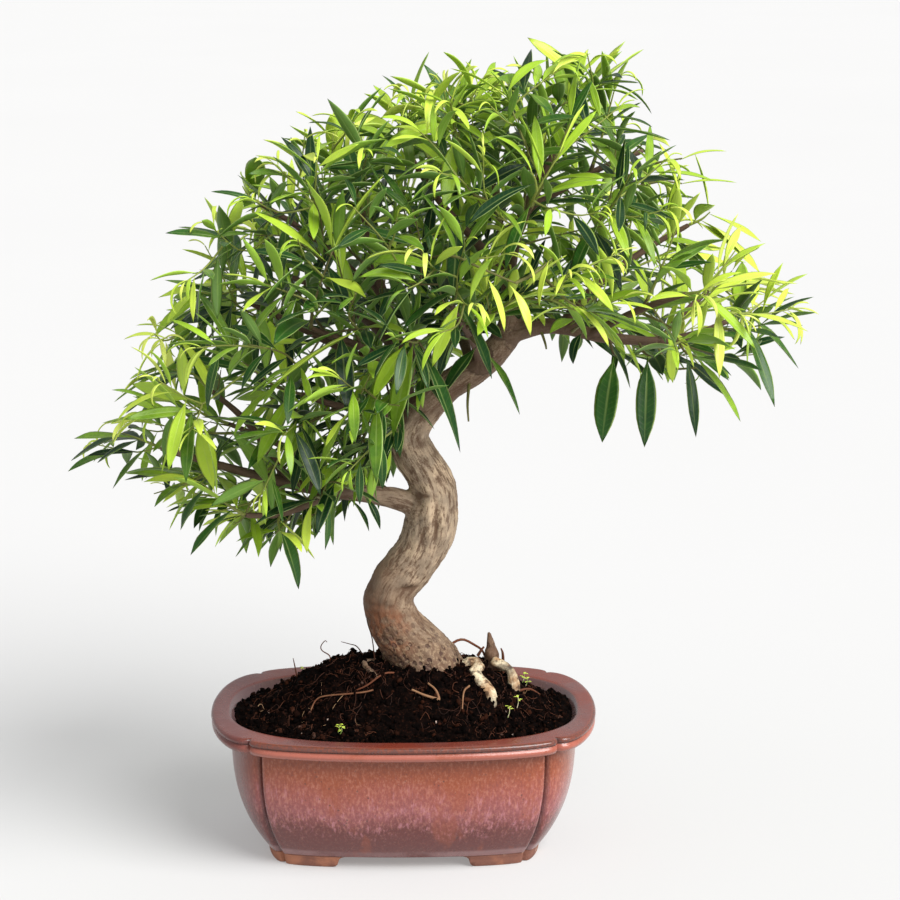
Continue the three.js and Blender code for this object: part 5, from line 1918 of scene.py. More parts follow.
@dataclass
class SoilBed:
    """The soil with its crumbs, fibres, grit and small sprouts."""

    edge: float = 70.8
    tilt: float = 1.8
    mound: float = 28
    mound_at: Pair = (0, 4)
    mound_spread: Pair = (56, 34)
    mound_power: float = 4
    lumps: tuple = ((0.21, 0.11, 0), (-0.13, 0.33, 1.7), (0.47, 0, 0.6))
    rough: float = 0.45
    rim_half: Pair = (88.1, 58.7)
    wall: tuple = ((65.8, 36.8, 14.6), (74.5, 45, 24), (81, 51.4, 44), (83.9, 55.1, 66.3))
    squareness: float = 2.57
    columns: int = 220
    rings: int = 84
    crumbs: int = 5200
    crumb_size: Pair = (0.35, 2.3)
    grit_share: float = 0.006
    fibres: int = 460
    short_share: float = 0.6
    short_fibre: Pair = (3, 9)
    long_fibre: Pair = (9, 24)
    pale_share: float = 0.03
    fibre_radius: Pair = (0.07, 0.17)
    sprouts: tuple = ((-33.5, -44.4, 5), (-32.2, -45, 3.4), (53.6, -29.4, 6), (58.4, -21, 6.5), (64, 4, 4),
                      (-54, 26, 6), (62.5, 9, 5))
    seed: int = 11

    def height(self, x: float, y: float) -> float:
        """Height of the soil, the same as the solid's.

        Args:
            x: sideways place.
            y: place from front to back.

        Returns:
            The height.
        """
        dx, dy = (x - self.mound_at[0]) / self.mound_spread[0], (y - self.mound_at[1]) / self.mound_spread[1]
        lumps = sum(math.sin(x * kx + y * ky + start) for kx, ky, start in self.lumps)
        mound = self.mound * math.exp(-0.5 * math.hypot(dx, dy) ** self.mound_power)
        return self.edge - self.tilt * y / 60.8 + mound + self.rough * lumps

    def rounded(self, angles: Array, half: Sequence[float | Array]) -> Array:
        """Places on rounded outlines of the pot's inside.

        Args:
            angles: the turn of each place.
            half: half width and half depth of the outline, or of each place's own.

        Returns:
            One row of x and y for each place.
        """
        power = 2 / self.squareness
        ways = np.cos(angles), np.sin(angles)
        return np.stack([reach * np.sign(way) * np.abs(way) ** power for reach, way in zip(half, ways)], 1)

    def rim(self, half: Pair) -> Array:
        """The rounded outline at given half sizes, as x and y."""
        return self.rounded(np.arange(self.columns) / self.columns * 2 * math.pi, half)

    def bed(self) -> Piece:
        """Makes the body of the soil, lumpy on top.

        Returns:
            The piece.
        """
        rim = self.rim(self.rim_half)
        rings = [np.column_stack([self.rim(half), np.full(self.columns, z)]) for *half, z in self.wall]
        middle = vec(*self.mound_at)
        for share in np.linspace(1, 0.012, self.rings) ** 0.9:
            flat = middle + (rim - middle) * share
            rings.append(self.on_top(flat))
        return mesh_piece("soil_bed", *closed_loft(rings))

    def on_top(self, flat: Array) -> Array:
        """Places on the lumpy top of the soil.

        Args:
            flat: their x and y, one row each.

        Returns:
            The places.
        """
        spots = np.column_stack([flat, np.zeros(len(flat))])
        lumpy = 3.4 * np.abs(rough(spots, 0.13)) + 1.5 * rough(spots, 0.42, 3)
        return np.column_stack([flat, [self.height(x, y) for x, y in flat] + lumpy - 1.3])

    def crumb_recipe(self, material: Material) -> Recipe:
        """The node tree that sets an uneven crumb on each point.

        Args:
            material: the crumbs' finish.

        Returns:
            The tree, with its sizes set.
        """
        r = Recipe("crumbs")
        least, most = (r.size(name, size * MM)
                       for name, size in zip(("Least size", "Most size"), self.crumb_size))
        ball = r.node("GeometryNodeMeshIcoSphere", {"Radius": 1.0, "Subdivisions": 1})
        copies = r.node("GeometryNodeInstanceOnPoints", {
            "Points": r.start.outputs["Geometry"], "Instance": ball.outputs[0],
            "Rotation": r.drawn_arrow((0, 0, 0), (6.28, 6.28, 6.28), 3),
            "Scale": r.drawn_arrow((0.55, 0.45, 0.35), (1.35, 1.0, 0.75), 5) * (
                r.kept("size") * (most - least) + least)})
        r.finish(copies.outputs[0], material)
        return r

    def scatter(self, rng: np.random.Generator, count: int, reach: float = 0.97) -> Array:
        """Chance places on the soil.

        Args:
            rng: the seeded source of chance.
            count: how many are wanted.
            reach: how far out they go, as a share of the way to the edge.

        Returns:
            One row of x and y for each.
        """
        angles = rng.uniform(0, 2 * math.pi, count)
        share = reach * rng.uniform(0, 1, count) ** 0.5
        return self.rounded(angles, [share * half for half in self.rim_half])

    def crumb_piece(self, rng: np.random.Generator, material: Material) -> Piece:
        """The loose crumbs and grit.

        Args:
            rng: the seeded source of chance.
            material: their finish.

        Returns:
            The piece.
        """
        places = self.on_top(self.scatter(rng, self.crumbs))
        places[:, 2] += rng.uniform(-0.2, 0.5, len(places))
        piece = mesh_piece("soil_crumbs", places, [])
        tone = rng.uniform(0, 1, len(places)) ** 2.2 * 0.62
        grit = rng.random(len(places)) < self.grit_share
        tone[grit] = rng.uniform(0.7, 1, grit.sum())
        store(piece, "size", np.where(grit, 0.3, rng.uniform(0, 1, len(places)) ** 3))
        store(piece, "tone", tone)
        piece.data.materials.append(material)
        return self.crumb_recipe(material).run(piece)

    def fibre_strands(self, rng: np.random.Generator) -> list[Strand]:
        """Fine roots that lie on the soil, and the few larger listed ones.

        Args:
            rng: the seeded source of chance.

        Returns:
            The strands.
        """
        strands = [Strand([vec(x, y, self.height(x, y) + lift) for x, y, lift in points], radii, tone, 16)
                   for points, radii, tone in SOIL_STRANDS]
        for x, y in self.scatter(rng, self.fibres, 0.93):
            turn, bend = rng.uniform(0, 2 * math.pi), rng.normal(0, 0.6)
            length = rng.uniform(*(self.short_fibre if rng.random() < self.short_share else self.long_fibre))
            line = []
            for k in range(5):
                line.append(self.on_top(np.array([[x, y]]))[0] + UP * (0.2 + rng.uniform(-0.7, 1.3)))
                x += math.cos(turn) * length / 4
                y += math.sin(turn) * length / 4
                turn += bend
            if abs(x / 85) ** 2.5 + abs(y / 56) ** 2.5 < 1:
                thick = rng.uniform(*self.fibre_radius)
                tone = rng.uniform(0.6, 0.8) if rng.random() < self.pale_share else rng.uniform(0.02, 0.42)
                strands.append(Strand(line, (thick, thick * 0.6), tone, 7))
        return strands

    def sprout_blades(self) -> tuple[list[Blade], list[Strand]]:
        """A few seedlings.

        Returns:
            Their small leaves and their stems.
        """
        blades, stems = [], []
        for x, y, tall in self.sprouts:
            foot = vec(x, y, self.height(x, y) - 0.5)
            top = foot + vec(0.8, -0.5, tall)
            stems.append(Strand([foot, (foot + top) / 2 + vec(0.5, 0, 0), top], (0.25, 0.2), 0.95, 4))
            for k in range(4):
                angle = k * math.pi / 2 + x
                way = unit(vec(math.cos(angle), math.sin(angle), 0.5))
                side = unit(np.cross(way, UP))
                blades.append(Blade(top - UP * (k // 2) * 1.6, way, side, -np.cross(side, way), 2.6, 1.5, 0.3,
                                    0.8, 0.0, 0.5))
        return blades, stems

    def build(self, finishes: dict[str, Material]) -> list[Piece]:
        """Makes the soil and all that lies on it.

        Args:
            finishes: the materials by name.

        Returns:
            The pieces.
        """
        rng = np.random.default_rng(self.seed)
        bed = finish_piece(self.bed(), finishes["soil"])
        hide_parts("soil")
        crumbs = finish_piece(self.crumb_piece(rng, finishes["crumbs"]))
        blades, stems = self.sprout_blades()
        strands = self.fibre_strands(rng) + stems
        fibres = finish_piece(Strands(5).build("soil_fibres", strands, finishes["fibre"]))
        sprouts = finish_piece(Foliage(6, 5, 0.12).build("soil_sprouts", blades, finishes["leaf"]))
        return [bed, crumbs, fibres, sprouts]


# The pot


@dataclass
class LobedPot:
    """The pot: four lobes that meet in grooves, an out-turned lip and four feet cut from one ring."""

    half: Pair = (100.5, 73)
    notch: Pair = (78.4, 57)
    notch_follow: Pair = (0.56, 0.75)
    notch_dip: float = 1.3
    body_top: float = 66.3
    foot_top: float = 7.2
    floor_top: float = 12.6
    body_inset: float = 10.3
    base_inset: float = 26.7
    belly_power: float = 2.9
    mouth_half: Pair = (90.6, 60.8)
    cavity_top_half: Pair = (84.4, 55.6)
    cavity_floor_half: Pair = (66, 37)
    squareness: float = 2.57
    long_steps: int = 26
    short_steps: int = 20
    crowding: float = 1.8
    groove_width: float = 1.35
    bead: Place = (3.3, 1.15, 0.55)
    drain_x: float = 34
    drain_radius: float = 7
    front_gap: Pair = (39.5, 28)
    side_gap: Pair = (19, 11)
    foot_band: float = 9.5

    def lobe(self, half: Pair, notch: Pair, short: bool) -> Array:
        """Points of half a lobe, crowded towards the groove: x, y and the distance from the groove.

        Args:
            half: half width and half depth of the ring.
            notch: where the lobes meet.
            short: whether it is a short lobe, on the pot's side.

        Returns:
            Rows from the groove to the lobe's middle.
        """
        angles = np.linspace(math.pi / 2, 0, 500)
        if short:
            x, y = notch[0] + (half[0] - notch[0]) * np.cos(angles), notch[1] * np.sin(angles)
        else:
            x, y = notch[0] * np.sin(angles), notch[1] + (half[1] - notch[1]) * np.cos(angles)
        run = np.concatenate([[0], np.cumsum(np.hypot(np.diff(x), np.diff(y)))])
        steps = self.short_steps if short else self.long_steps
        wanted = run[-1] * np.linspace(0, 1, steps + 1) ** self.crowding
        return np.column_stack([np.interp(wanted, run, x), np.interp(wanted, run, y), wanted])

    def ring(self, inset: float, z: float, groove: float = 1.0, bead: float = 1.0) -> Array:
        """The lobed outline at one height.

        Args:
            inset: how far it stands in from the rim.
            z: its height.
            groove: share of the full groove where the lobes meet.
            bead: share of the full bead beside each groove.

        Returns:
            Points, anticlockwise from above.
        """
        half = (self.half[0] - inset, self.half[1] - inset)
        notch = (self.notch[0] - inset * self.notch_follow[0], self.notch[1] - inset * self.notch_follow[1])
        short, long = self.lobe(half, notch, True), self.lobe(half, notch, False)
        quarter = np.vstack([short[::-1], long[1:]])
        dip = self.notch_dip * groove * np.exp(-((quarter[:, 2] / self.groove_width) ** 2))
        place, width, height = self.bead
        raised = height * bead * np.exp(-(((quarter[:, 2] - place) / width) ** 2))
        raised[: len(short)] *= 0.45
        quarter[:, 0] -= dip
        quarter[:, 1] += raised - dip
        flat = quarter[:, :2]
        left = (flat * (-1, 1))[::-1][1:]
        upper = np.vstack([flat, left[:-1]])
        outline = np.vstack([upper, -upper])
        return np.column_stack([outline, np.full(len(outline), z)])

    def inner_ring(self, half: Pair, z: float) -> Array:
        """The smooth inner outline at one height, with its points in line with those of the lobed one.

        Args:
            half: its half width and half depth.
            z: its height.

        Returns:
            Points, anticlockwise from above.
        """
        outer = self.ring(0, z, 0, 0)
        wide, deep = (np.abs(outer[:, :2]) / half).T ** self.squareness
        outer[:, :2] /= (wide + deep)[:, None] ** (1 / self.squareness)
        return outer

    def inset_at(self, z: float) -> float:
        """How far the body stands in from the rim at a height."""
        drop = (self.body_top - z) / (self.body_top - self.foot_top)
        return mix(self.body_inset, self.base_inset, max(drop, 0) ** self.belly_power)

    def body(self) -> Piece:
        """Makes the glazed body, with numbers that say where its lines and bands run.

        Returns:
            The piece.
        """
        rows = [(self.base_inset + step, self.foot_top - drop, 0) for step, drop in ((1.2, 0.6), (0.2, 0.4))]
        rows += [(self.inset_at(z), z, 0) for z in np.linspace(self.foot_top, 65.2, 34)]
        rows += [(9.9, 65.9, 1), (8.2, 66.2, 1), (5.5, 66.35, 1), (3, 66.45, 1), (1.6, 66.75, 1)]
        rows += [(1.25 - 1.0 * math.sin(math.pi * k / 8), 67.2 + 3.6 * k / 8, 2) for k in range(9)]
        rows += [(1.45, 71.05, 3), (1.5, 71.3, 3), (0.9, 71.55, 3), (0.3, 71.9, 4), (0, 72.6, 4),
                 (0.1, 73.2, 4), (0.5, 73.8, 4), (1.2, 74.15, 4), (2.0, 74.3, 5), (3.4, 74.25, 5)]
        rings = [self.ring(inset, z, mix(1, 0.75, zone > 1), zone < 1) for inset, z, zone in rows]
        zones = [zone for *_, zone in rows]
        for half, z, zone in (((93.2, 63.4), 74.1, 5), ((91.6, 61.8), 73.9, 5), (self.mouth_half, 73.4, 6),
                              ((89.5, 59.9), 72.2, 6), ((87.2, 58), 69.6, 6), ((85.5, 56.5), 67.6, 6),
                              (self.cavity_top_half, 66.3, 6), ((81.5, 51.9), 44, 6), ((75, 45.5), 24, 6),
                              (self.cavity_floor_half, self.floor_top, 6)):
            rings.append(self.inner_ring(half, z))
            zones.append(zone)
        points, faces = closed_loft(rings)
        piece = mesh_piece("pot_body", points, faces)
        count = len(rings[0])
        zone = np.concatenate([np.repeat(zones, count), [0, 6]]).astype(float)
        for number, name in enumerate(("lip_under", "band", "line", "edge", "top", "inside"), 1):
            store(piece, name, (zone == number).astype(float))
        near = self.groove_nearness(count)
        store(piece, "groove", np.concatenate([np.tile(near, len(rings)), [0, 0]]) * (zone < 5))
        holes = [self.drill(x) for x in (-self.drain_x, self.drain_x)]
        self.cut(piece, holes)
        return piece

    def groove_nearness(self, count: int) -> Array:
        """How near the points of a ring are to a groove.

        Args:
            count: how many points the ring has.

        Returns:
            For each a number from 0 to 1.
        """
        half = [self.lobe(self.half, self.notch, short)[:, 2] for short in (True, False)]
        quarter = np.concatenate([half[0][::-1], half[1][1:]])
        upper = np.concatenate([quarter, quarter[::-1][1:-1]])
        return np.exp(-((np.tile(upper, 2)[:count] / 1.5) ** 2))

    def drill(self, x: float) -> Piece:
        """A round bar as wide as a drainage hole."""
        line = [vec(x, 0, -2), vec(x, 0, 20)]
        return mesh_piece("drill", *tube(line, [self.drain_radius] * 2, 40), smooth=False)

    def gap_bar(self, low: float, high: float, turned: bool) -> Piece:
        """The space between two feet, a bar with curved ends.

        Args:
            low: half its width at the ground.
            high: half its width on top.
            turned: whether it runs along x, not y.

        Returns:
            The bar.
        """
        top = self.foot_top - 0.7
        edge = [(low + 0.1, -1.0)] + [
            (mix(low, high, u + 0.12 * math.sin(2 * math.pi * u)), top * (u - 0.16 * math.sin(2 * math.pi * u)))
            for u in np.linspace(0, 1, 9)]
        section = edge + [(-a, z) for a, z in reversed(edge)]
        ends = []
        for reach in (130.0, -130.0):
            ends.append(np.array([(reach, a, z) if turned else (a, reach, z) for a, z in section]))
        if turned:
            ends.reverse()
        return mesh_piece("gap_bar", *closed_loft(ends), smooth=False)

    def cut(self, piece: Piece, tools: Sequence[Piece]) -> None:
        """Cuts tools out of a piece and removes them.

        Args:
            piece: the piece.
            tools: the bodies to cut with.
        """
        for tool in tools:
            boolean = piece.modifiers.new("cut", "BOOLEAN")
            boolean.operation = "DIFFERENCE"
            boolean.solver = "EXACT"
            boolean.object = tool
        evaluated_mesh(piece)
        for tool in tools:
            bpy.data.objects.remove(tool)

    def feet(self) -> Piece:
        """Makes the four unglazed feet under the body.

        Returns:
            The piece.
        """
        inset = self.base_inset
        rings = [self.ring(inset + step, z, 0.8, 0) for step, z in (
            (3.6, 0), (2.9, 0.15), (2.5, 0.6), (1.9, 3), (1.4, 5.2), (0.9, 5.9), (0.8, 6.5), (1.6, 6.9))]
        piece = mesh_piece("pot_feet", *closed_loft(rings))
        under = (self.half[0] - inset - self.foot_band, self.half[1] - inset - self.foot_band)
        hollow = mesh_piece("hollow", *closed_loft([self.inner_ring(under, -1), self.inner_ring(under, 6.5)]),
                            smooth=False)
        self.cut(piece, [hollow, self.gap_bar(*self.front_gap, False), self.gap_bar(*self.side_gap, True)])
        return piece

    def build(self, glaze: Material, clay: Material) -> list[Piece]:
        """Makes the glazed body and the bare feet.

        Args:
            glaze: finish of the body.
            clay: finish of the feet.

        Returns:
            The two pieces.
        """
        body, feet = self.body(), self.feet()
        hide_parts("pot")
        return [finish_piece(body, glaze), finish_piece(feet, clay)]


# Finishes


@dataclass(frozen=True)
class LeafFinish:
    """Leaf colours from old to young, with the rib, the paler underside and the gloss."""

    old: Colour = (0.004, 0.028, 0.007)
    full: Colour = (0.024, 0.09, 0.009)
    fresh: Colour = (0.3, 0.48, 0.026)
    lime: Colour = (0.52, 0.66, 0.065)
    youngest: Colour = (0.58, 0.66, 0.12)
    rib: Colour = (0.4, 0.5, 0.15)
    under: Colour = (0.2, 0.36, 0.06)
    roughness: Pair = (0.34, 0.5)

    def material(self) -> Material:
        """Builds the material.

        Returns:
            The material.
        """
        p = Paint("willow_leaf")
        tone, shade = p.kept("tone"), p.kept("shade")
        t, across, face = p.kept("along"), p.kept("across").size(), p.kept("face")
        cloud = p.speckle(p.place, 160)
        # The tone carries painted shade from deep inside the crown as well as the leaf's age
        age = tone + (shade - 0.5) * 0.46 + (cloud - 0.5) * 0.14 - (t - 0.5) * 0.1
        colour = p.scale_of(age, ((0.0, self.old), (0.15, self.full), (0.38, self.fresh), (0.64, self.lime),
                                  (1.0, self.youngest)))
        veins = ((t * 16 + across * 1.1) * 2 * math.pi).sine()
        vein = veins.ramp(0.75, 1.0) * across.ramp(0.05, 0.25)
        colour = p.blend(vein * tone.ramp(0.1, 0.6, 0.04, 0.14), colour, self.rib)
        rib = across.ramp(0.0, 0.17, 1, 0) * t.ramp(0.02, 0.9, 1, 0.25)
        colour = p.blend(rib * tone.ramp(0.1, 0.9, 0.5, 0.3), colour, self.rib)
        margin = across.ramp(0.84, 0.97) * tone.ramp(0.1, 0.6, 0.75, 0.12)
        colour = p.blend(margin, colour, self.rib)
        low = face.ramp(0.05, 0.3)
        colour = p.blend(low * tone.ramp(0.2, 0.9, 0.45, 0.12), colour, self.under)
        p.set(Base_Color=colour, Roughness=low.ramp(0, 1, *self.roughness) + (cloud - 0.5) * 0.14,
              Specular_IOR_Level=0.28, Subsurface_Weight=0.12, Subsurface_Scale=0.0012,
              Subsurface_Radius=(0.8, 1.0, 0.3))
        p.relief(rib * -1 + vein * -0.12, 0.0003, 0.5)
        return p.material


@dataclass(frozen=True)
class BarkFinish:
    """Bark: tan and grey, darker in its wrinkles, with pale pits low down and a rusty patch, and painted shade
    in its hollows, on its lower left side and inside the crown.
    """

    pale: Colour = (0.6, 0.47, 0.33)
    light: Colour = (0.5, 0.368, 0.245)
    dark: Colour = (0.1, 0.052, 0.028)
    grey: Colour = (0.3, 0.225, 0.155)
    rust: Colour = (0.2, 0.075, 0.033)
    # Brown of soil stains low on the trunk, used too as painted shade on the trunk's left side and inside the
    # crown
    earth_and_shade: Colour = (0.118, 0.062, 0.035)
    twig: Colour = (0.1, 0.058, 0.036)
    pit: Colour = (0.06, 0.028, 0.02)
    fleck: Colour = (0.46, 0.33, 0.2)

    def material(self) -> Material:
        """Builds the material of the trunk and its limbs.

        Returns:
            The material.
        """
        p = Paint("ficus_bark")
        grain, girth, relief = p.kept_arrow("grain"), p.kept("girth"), p.kept("relief")
        lines = p.speckle(grain * (300, 300, 52), 1.0, 5, 0.68, 0.4)
        fine = p.speckle(grain * (720, 720, 190), 1.0, 4, 0.66, 0.3)
        patch = p.speckle(p.place, 60, 5, 0.62)
        grit = p.speckle(p.place, 1200, 3, 0.7)
        colour = p.blend(patch.ramp(0.4, 0.6), self.grey, self.light)
        crease = (lines * 0.42 + fine * 0.43 + grit * 0.15).ramp(0.49, 0.58)
        colour = p.blend(crease * 0.85, colour, self.dark)
        colour = p.blend(fine.ramp(0.34, 0.44, 0.4, 0), colour, self.pale)
        # Painted shade: the bark is darkened where its relief sinks into hollows
        colour = p.blend(relief.ramp(-0.9, -0.1, 0.85, 0), colour, self.dark)
        x, y, z = p.place.parts()
        low = z.ramp(0.1, 0.136, 1, 0)
        # Painted shade: the lower left side of the trunk is darkened with the soil brown; near the soil, the
        # same brown is a real soil stain
        left = x.ramp(-0.04, -0.004, 1, 0) * z.ramp(0.15, 0.17, 1, 0)
        earth_and_left_shade = (low * 0.95 + left * 0.95).least(1) * patch.ramp(0.3, 0.6, 0.65, 1)
        colour = p.blend(earth_and_left_shade, colour, self.earth_and_shade)
        rust = z.ramp(0.1, 0.112) * z.ramp(0.122, 0.136, 1, 0) * x.ramp(-0.026, -0.008, 1, 0)
        colour = p.blend(rust * p.speckle(p.place, 130).ramp(0.38, 0.56) * 0.9, colour, self.rust)
        pits = p.cells(grain * (1, 1, 0.7), 340).ramp(0.32, 0.46, 1, 0) * low * patch.ramp(0.34, 0.44)
        colour = p.blend(pits * 0.9, colour, self.pit)
        flecks = p.speckle(p.place, 560, 3, 0.7).ramp(0.5, 0.6) * low
        colour = p.blend(flecks * 0.36, colour, self.fleck)
        stub = x.ramp(0.0195, 0.0215) * z.ramp(0.12, 0.14, 1, 0)
        colour = p.blend(stub * p.speckle(p.place, 330).ramp(0.4, 0.6, 0.45, 0.95), colour, self.earth_and_shade)
        # Painted shade: the wood within the crown, from about 22 cm up, is darkened with the soil brown
        crown_shade = z.ramp(0.215, 0.24) * grit.ramp(0.3, 0.7, 0.45, 0.75)
        colour = p.blend(crown_shade, colour, self.earth_and_shade)
        # Thin limbs in the crown take the dark twig colour: partly their own colour, partly painted shade from
        # the crown
        colour = p.blend(girth.ramp(0.2, 0.6, 0.9, 0) * z.ramp(0.14, 0.17), colour, self.twig)
        p.set(Base_Color=colour, Roughness=grit.ramp(0.3, 0.7, 0.62, 0.82), Specular_IOR_Level=0.3)
        p.relief(lines * -0.7 - fine * 0.4 + grit * 0.15 - pits * 0.6, 0.0012, 0.85)
        return p.material


@dataclass(frozen=True)
class TwigFinish:
    """Twigs: brown where they are old, and greenish to red-brown towards the young tips."""

    old: Colour = (0.075, 0.045, 0.028)
    young: Colour = (0.25, 0.3, 0.055)

    def material(self) -> Material:
        """Builds the material.

        Returns:
            The material.
        """
        p = Paint("twig_bark")
        cloud = p.speckle(p.place, 500, 4, 0.65)
        colour = p.blend(p.kept("tone") + (cloud - 0.5) * 0.5, self.old, self.young)
        colour = p.blend(cloud.ramp(0.55, 0.75) * 0.5, colour, (0.3, 0.19, 0.12))
        p.set(Base_Color=colour, Roughness=0.6, Specular_IOR_Level=0.3)
        p.relief(cloud, 0.0004, 0.6)
        return p.material


@dataclass(frozen=True)
class RootFinish:
    """Bare roots and fibres, from dark red-brown to pale straw."""

    dark: Colour = (0.02, 0.007, 0.004)
    red: Colour = (0.13, 0.04, 0.017)
    straw: Colour = (0.4, 0.24, 0.125)
    pale: Colour = (0.7, 0.59, 0.4)
    shoot: Colour = (0.25, 0.4, 0.08)

    def fibre(self) -> Material:
        """Builds the material of the fine fibres, by the tone that each carries.

        Returns:
            The material.
        """
        p = Paint("root_fibre")
        cloud = p.speckle(p.place, 300, 3, 0.6)
        colour = p.scale_of(p.kept("tone") + (cloud - 0.5) * 0.25, (
            (0.0, self.dark), (0.5, self.red), (0.8, self.straw), (0.93, self.pale), (0.97, self.shoot)))
        p.set(Base_Color=colour, Roughness=0.7, Specular_IOR_Level=0.25)
        p.relief(cloud, 0.0003, 0.6)
        return p.material

    def thick(self) -> Material:
        """Builds the material of the thick pale roots, which hold soil in their hollows.

        Returns:
            The material.
        """
        p = Paint("pale_root")
        cloud = p.speckle(p.place, 130, 5, 0.62)
        fine = p.speckle(p.place, 700, 3, 0.65)
        colour = p.blend(cloud.ramp(0.4, 0.6), self.straw, self.pale)
        colour = p.blend(p.kept("relief").ramp(-0.3, 0.06, 0.95, 0), colour, self.dark)
        colour = p.blend(p.speckle(p.place, 210, 4, 0.7).ramp(0.5, 0.6) * 0.75, colour, self.dark)
        colour = p.blend(fine.ramp(0.54, 0.66) * 0.6, colour, self.red)
        z = p.place.parts()[2]
        colour = p.blend(z.ramp(0.079, 0.088, 0.85, 0), colour, self.dark)
        p.set(Base_Color=colour, Roughness=0.68, Specular_IOR_Level=0.3)
        p.relief(cloud * 0.6 + fine * 0.4, 0.0008, 0.8)
        return p.material


@dataclass(frozen=True)
class SoilFinish:
    """Moist dark soil, and its lighter crumbs."""

    wet: Colour = (0.0012, 0.0007, 0.0006)
    damp: Colour = (0.0045, 0.002, 0.0015)
    dry: Colour = (0.034, 0.011, 0.0055)
    grit: Colour = (0.42, 0.31, 0.26)

    def bed(self) -> Material:
        """Builds the material of the bed.

        Returns:
            The material.
        """
        p = Paint("potting_soil")
        coarse, fine = p.speckle(p.place, 260, 5, 0.7), p.speckle(p.place, 1100, 4, 0.7)
        colour = p.blend(coarse.ramp(0.42, 0.62), self.wet, self.damp)
        colour = p.blend(fine.ramp(0.54, 0.66) * coarse.ramp(0.4, 0.6), colour, self.dry)
        p.set(Base_Color=colour, Roughness=fine.ramp(0.3, 0.7, 0.75, 0.98), Specular_IOR_Level=0.03)
        p.relief(coarse * 0.6 + fine * 0.4, 0.0016, 0.9)
        return p.material

    def crumbs(self) -> Material:
        """Builds the material of the crumbs and the grit.

        Returns:
            The material.
        """
        p = Paint("soil_crumbs")
        fine = p.speckle(p.place, 1400, 3, 0.7)
        colour = p.scale_of(p.kept("tone") + (fine - 0.5) * 0.2, (
            (0.0, self.wet), (0.3, self.damp), (0.6, self.dry), (0.85, self.grit)))
        p.set(Base_Color=colour, Roughness=0.88, Specular_IOR_Level=0.03)
        p.relief(fine, 0.0006, 0.8)
        return p.material


@dataclass(frozen=True)
class GlazeFinish:
    """The pot's run glaze: orange-brown above, violet streaks in the middle, maroon below, with painted shade
    under the lip and on the left end.
    """

    foot_line: Colour = (0.27, 0.15, 0.15)
    maroon: Colour = (0.12, 0.03, 0.027)
    violet: Colour = (0.25, 0.075, 0.075)
    rose: Colour = (0.27, 0.07, 0.05)
    orange: Colour = (0.26, 0.06, 0.024)
    band: Colour = (0.34, 0.1, 0.068)
    top: Colour = (0.19, 0.034, 0.019)
    line: Colour = (0.05, 0.028, 0.03)
    inside: Colour = (0.13, 0.07, 0.07)

    def material(self) -> Material:
        """Builds the material of the glazed body.

        Returns:
            The material.
        """
        p = Paint("run_glaze")
        x, y, z = p.place.parts()
        runs = p.speckle(p.place * (1, 1, 0.16), 520, 5, 0.7)
        mottle = p.speckle(p.place * (1, 1, 0.55), 800, 3, 0.65)
        wide = p.speckle(p.place * (1, 1, 0.35), 60, 3, 0.6)
        cloud = p.speckle(p.place, 26, 4, 0.6)
        fine = p.speckle(p.place, 950, 2, 0.6)
        level = z / 0.0663 + (runs - 0.5) * 0.3 + (wide - 0.5) * 0.22 + (cloud - 0.5) * 0.16
        colour = p.scale_of(level, ((0.14, self.maroon), (0.36, self.maroon), (0.52, self.violet),
                                    (0.68, self.rose), (0.84, self.orange)))
        streak = runs.ramp(0.5, 0.66) * level.ramp(0.28, 0.45) * level.ramp(0.66, 0.85, 1, 0)
        colour = p.blend(streak * 0.55, colour, (0.46, 0.2, 0.23))
        colour = p.blend(mottle.ramp(0.5, 0.64) * level.ramp(0.25, 0.5, 0.08, 0.3), colour, (0.5, 0.22, 0.15))
        colour = p.blend(mottle.ramp(0.36, 0.48, 1, 0) * 0.3, colour, self.maroon)
        colour = p.blend(wide.ramp(0.56, 0.66) * 0.4, colour, self.orange)
        colour = p.blend(z.ramp(0.0095, 0.0115, 0.8, 0) * cloud.ramp(0.3, 0.6), colour, self.foot_line)
        # Painted shadow: the underside of the lip is darkened towards maroon
        colour = p.blend(p.kept("lip_under") * 0.8, colour, self.maroon)
        colour = p.blend(p.kept("groove") * 0.8, colour, self.line)
        colour = p.blend(p.kept("band").ramp(0.2, 0.8) * (wide.ramp(0.3, 0.5) * 0.5 + 0.5), colour, self.band)
        rim = p.blend(cloud.ramp(0.42, 0.66) * 0.5, self.top, self.inside)
        colour = p.blend(p.kept("top"), colour, rim)
        colour = p.blend(p.kept("edge").ramp(0.35, 1) * (mottle.ramp(0.4, 0.6) * 0.4 + 0.4), colour, self.line)
        colour = p.blend(p.kept("line") * 0.8, colour, self.line)
        # Painted shade: the left end of the pot is darkened towards maroon
        colour = p.blend(x.ramp(-0.106, -0.088, 0.8, 0), colour, self.maroon)
        colour = p.blend(p.kept("inside"), colour, self.inside)
        dots = p.cells(p.place, 260).ramp(0.1, 0.17, 1, 0) * cloud.ramp(0.5, 0.62)
        colour = p.blend(dots * 0.55, colour, (0.05, 0.03, 0.03))
        colour = p.blend(fine.ramp(0.6, 0.75) * 0.16, colour, (0.62, 0.36, 0.28))
        p.set(Base_Color=colour, Roughness=wide.ramp(0.3, 0.7, 0.2, 0.34), Specular_IOR_Level=0.4,
              Coat_Weight=0.2, Coat_Roughness=0.08)
        p.relief(runs * 0.5 + cloud + fine * 0.12 - dots * 0.5, 0.0006, 0.35)
        return p.material


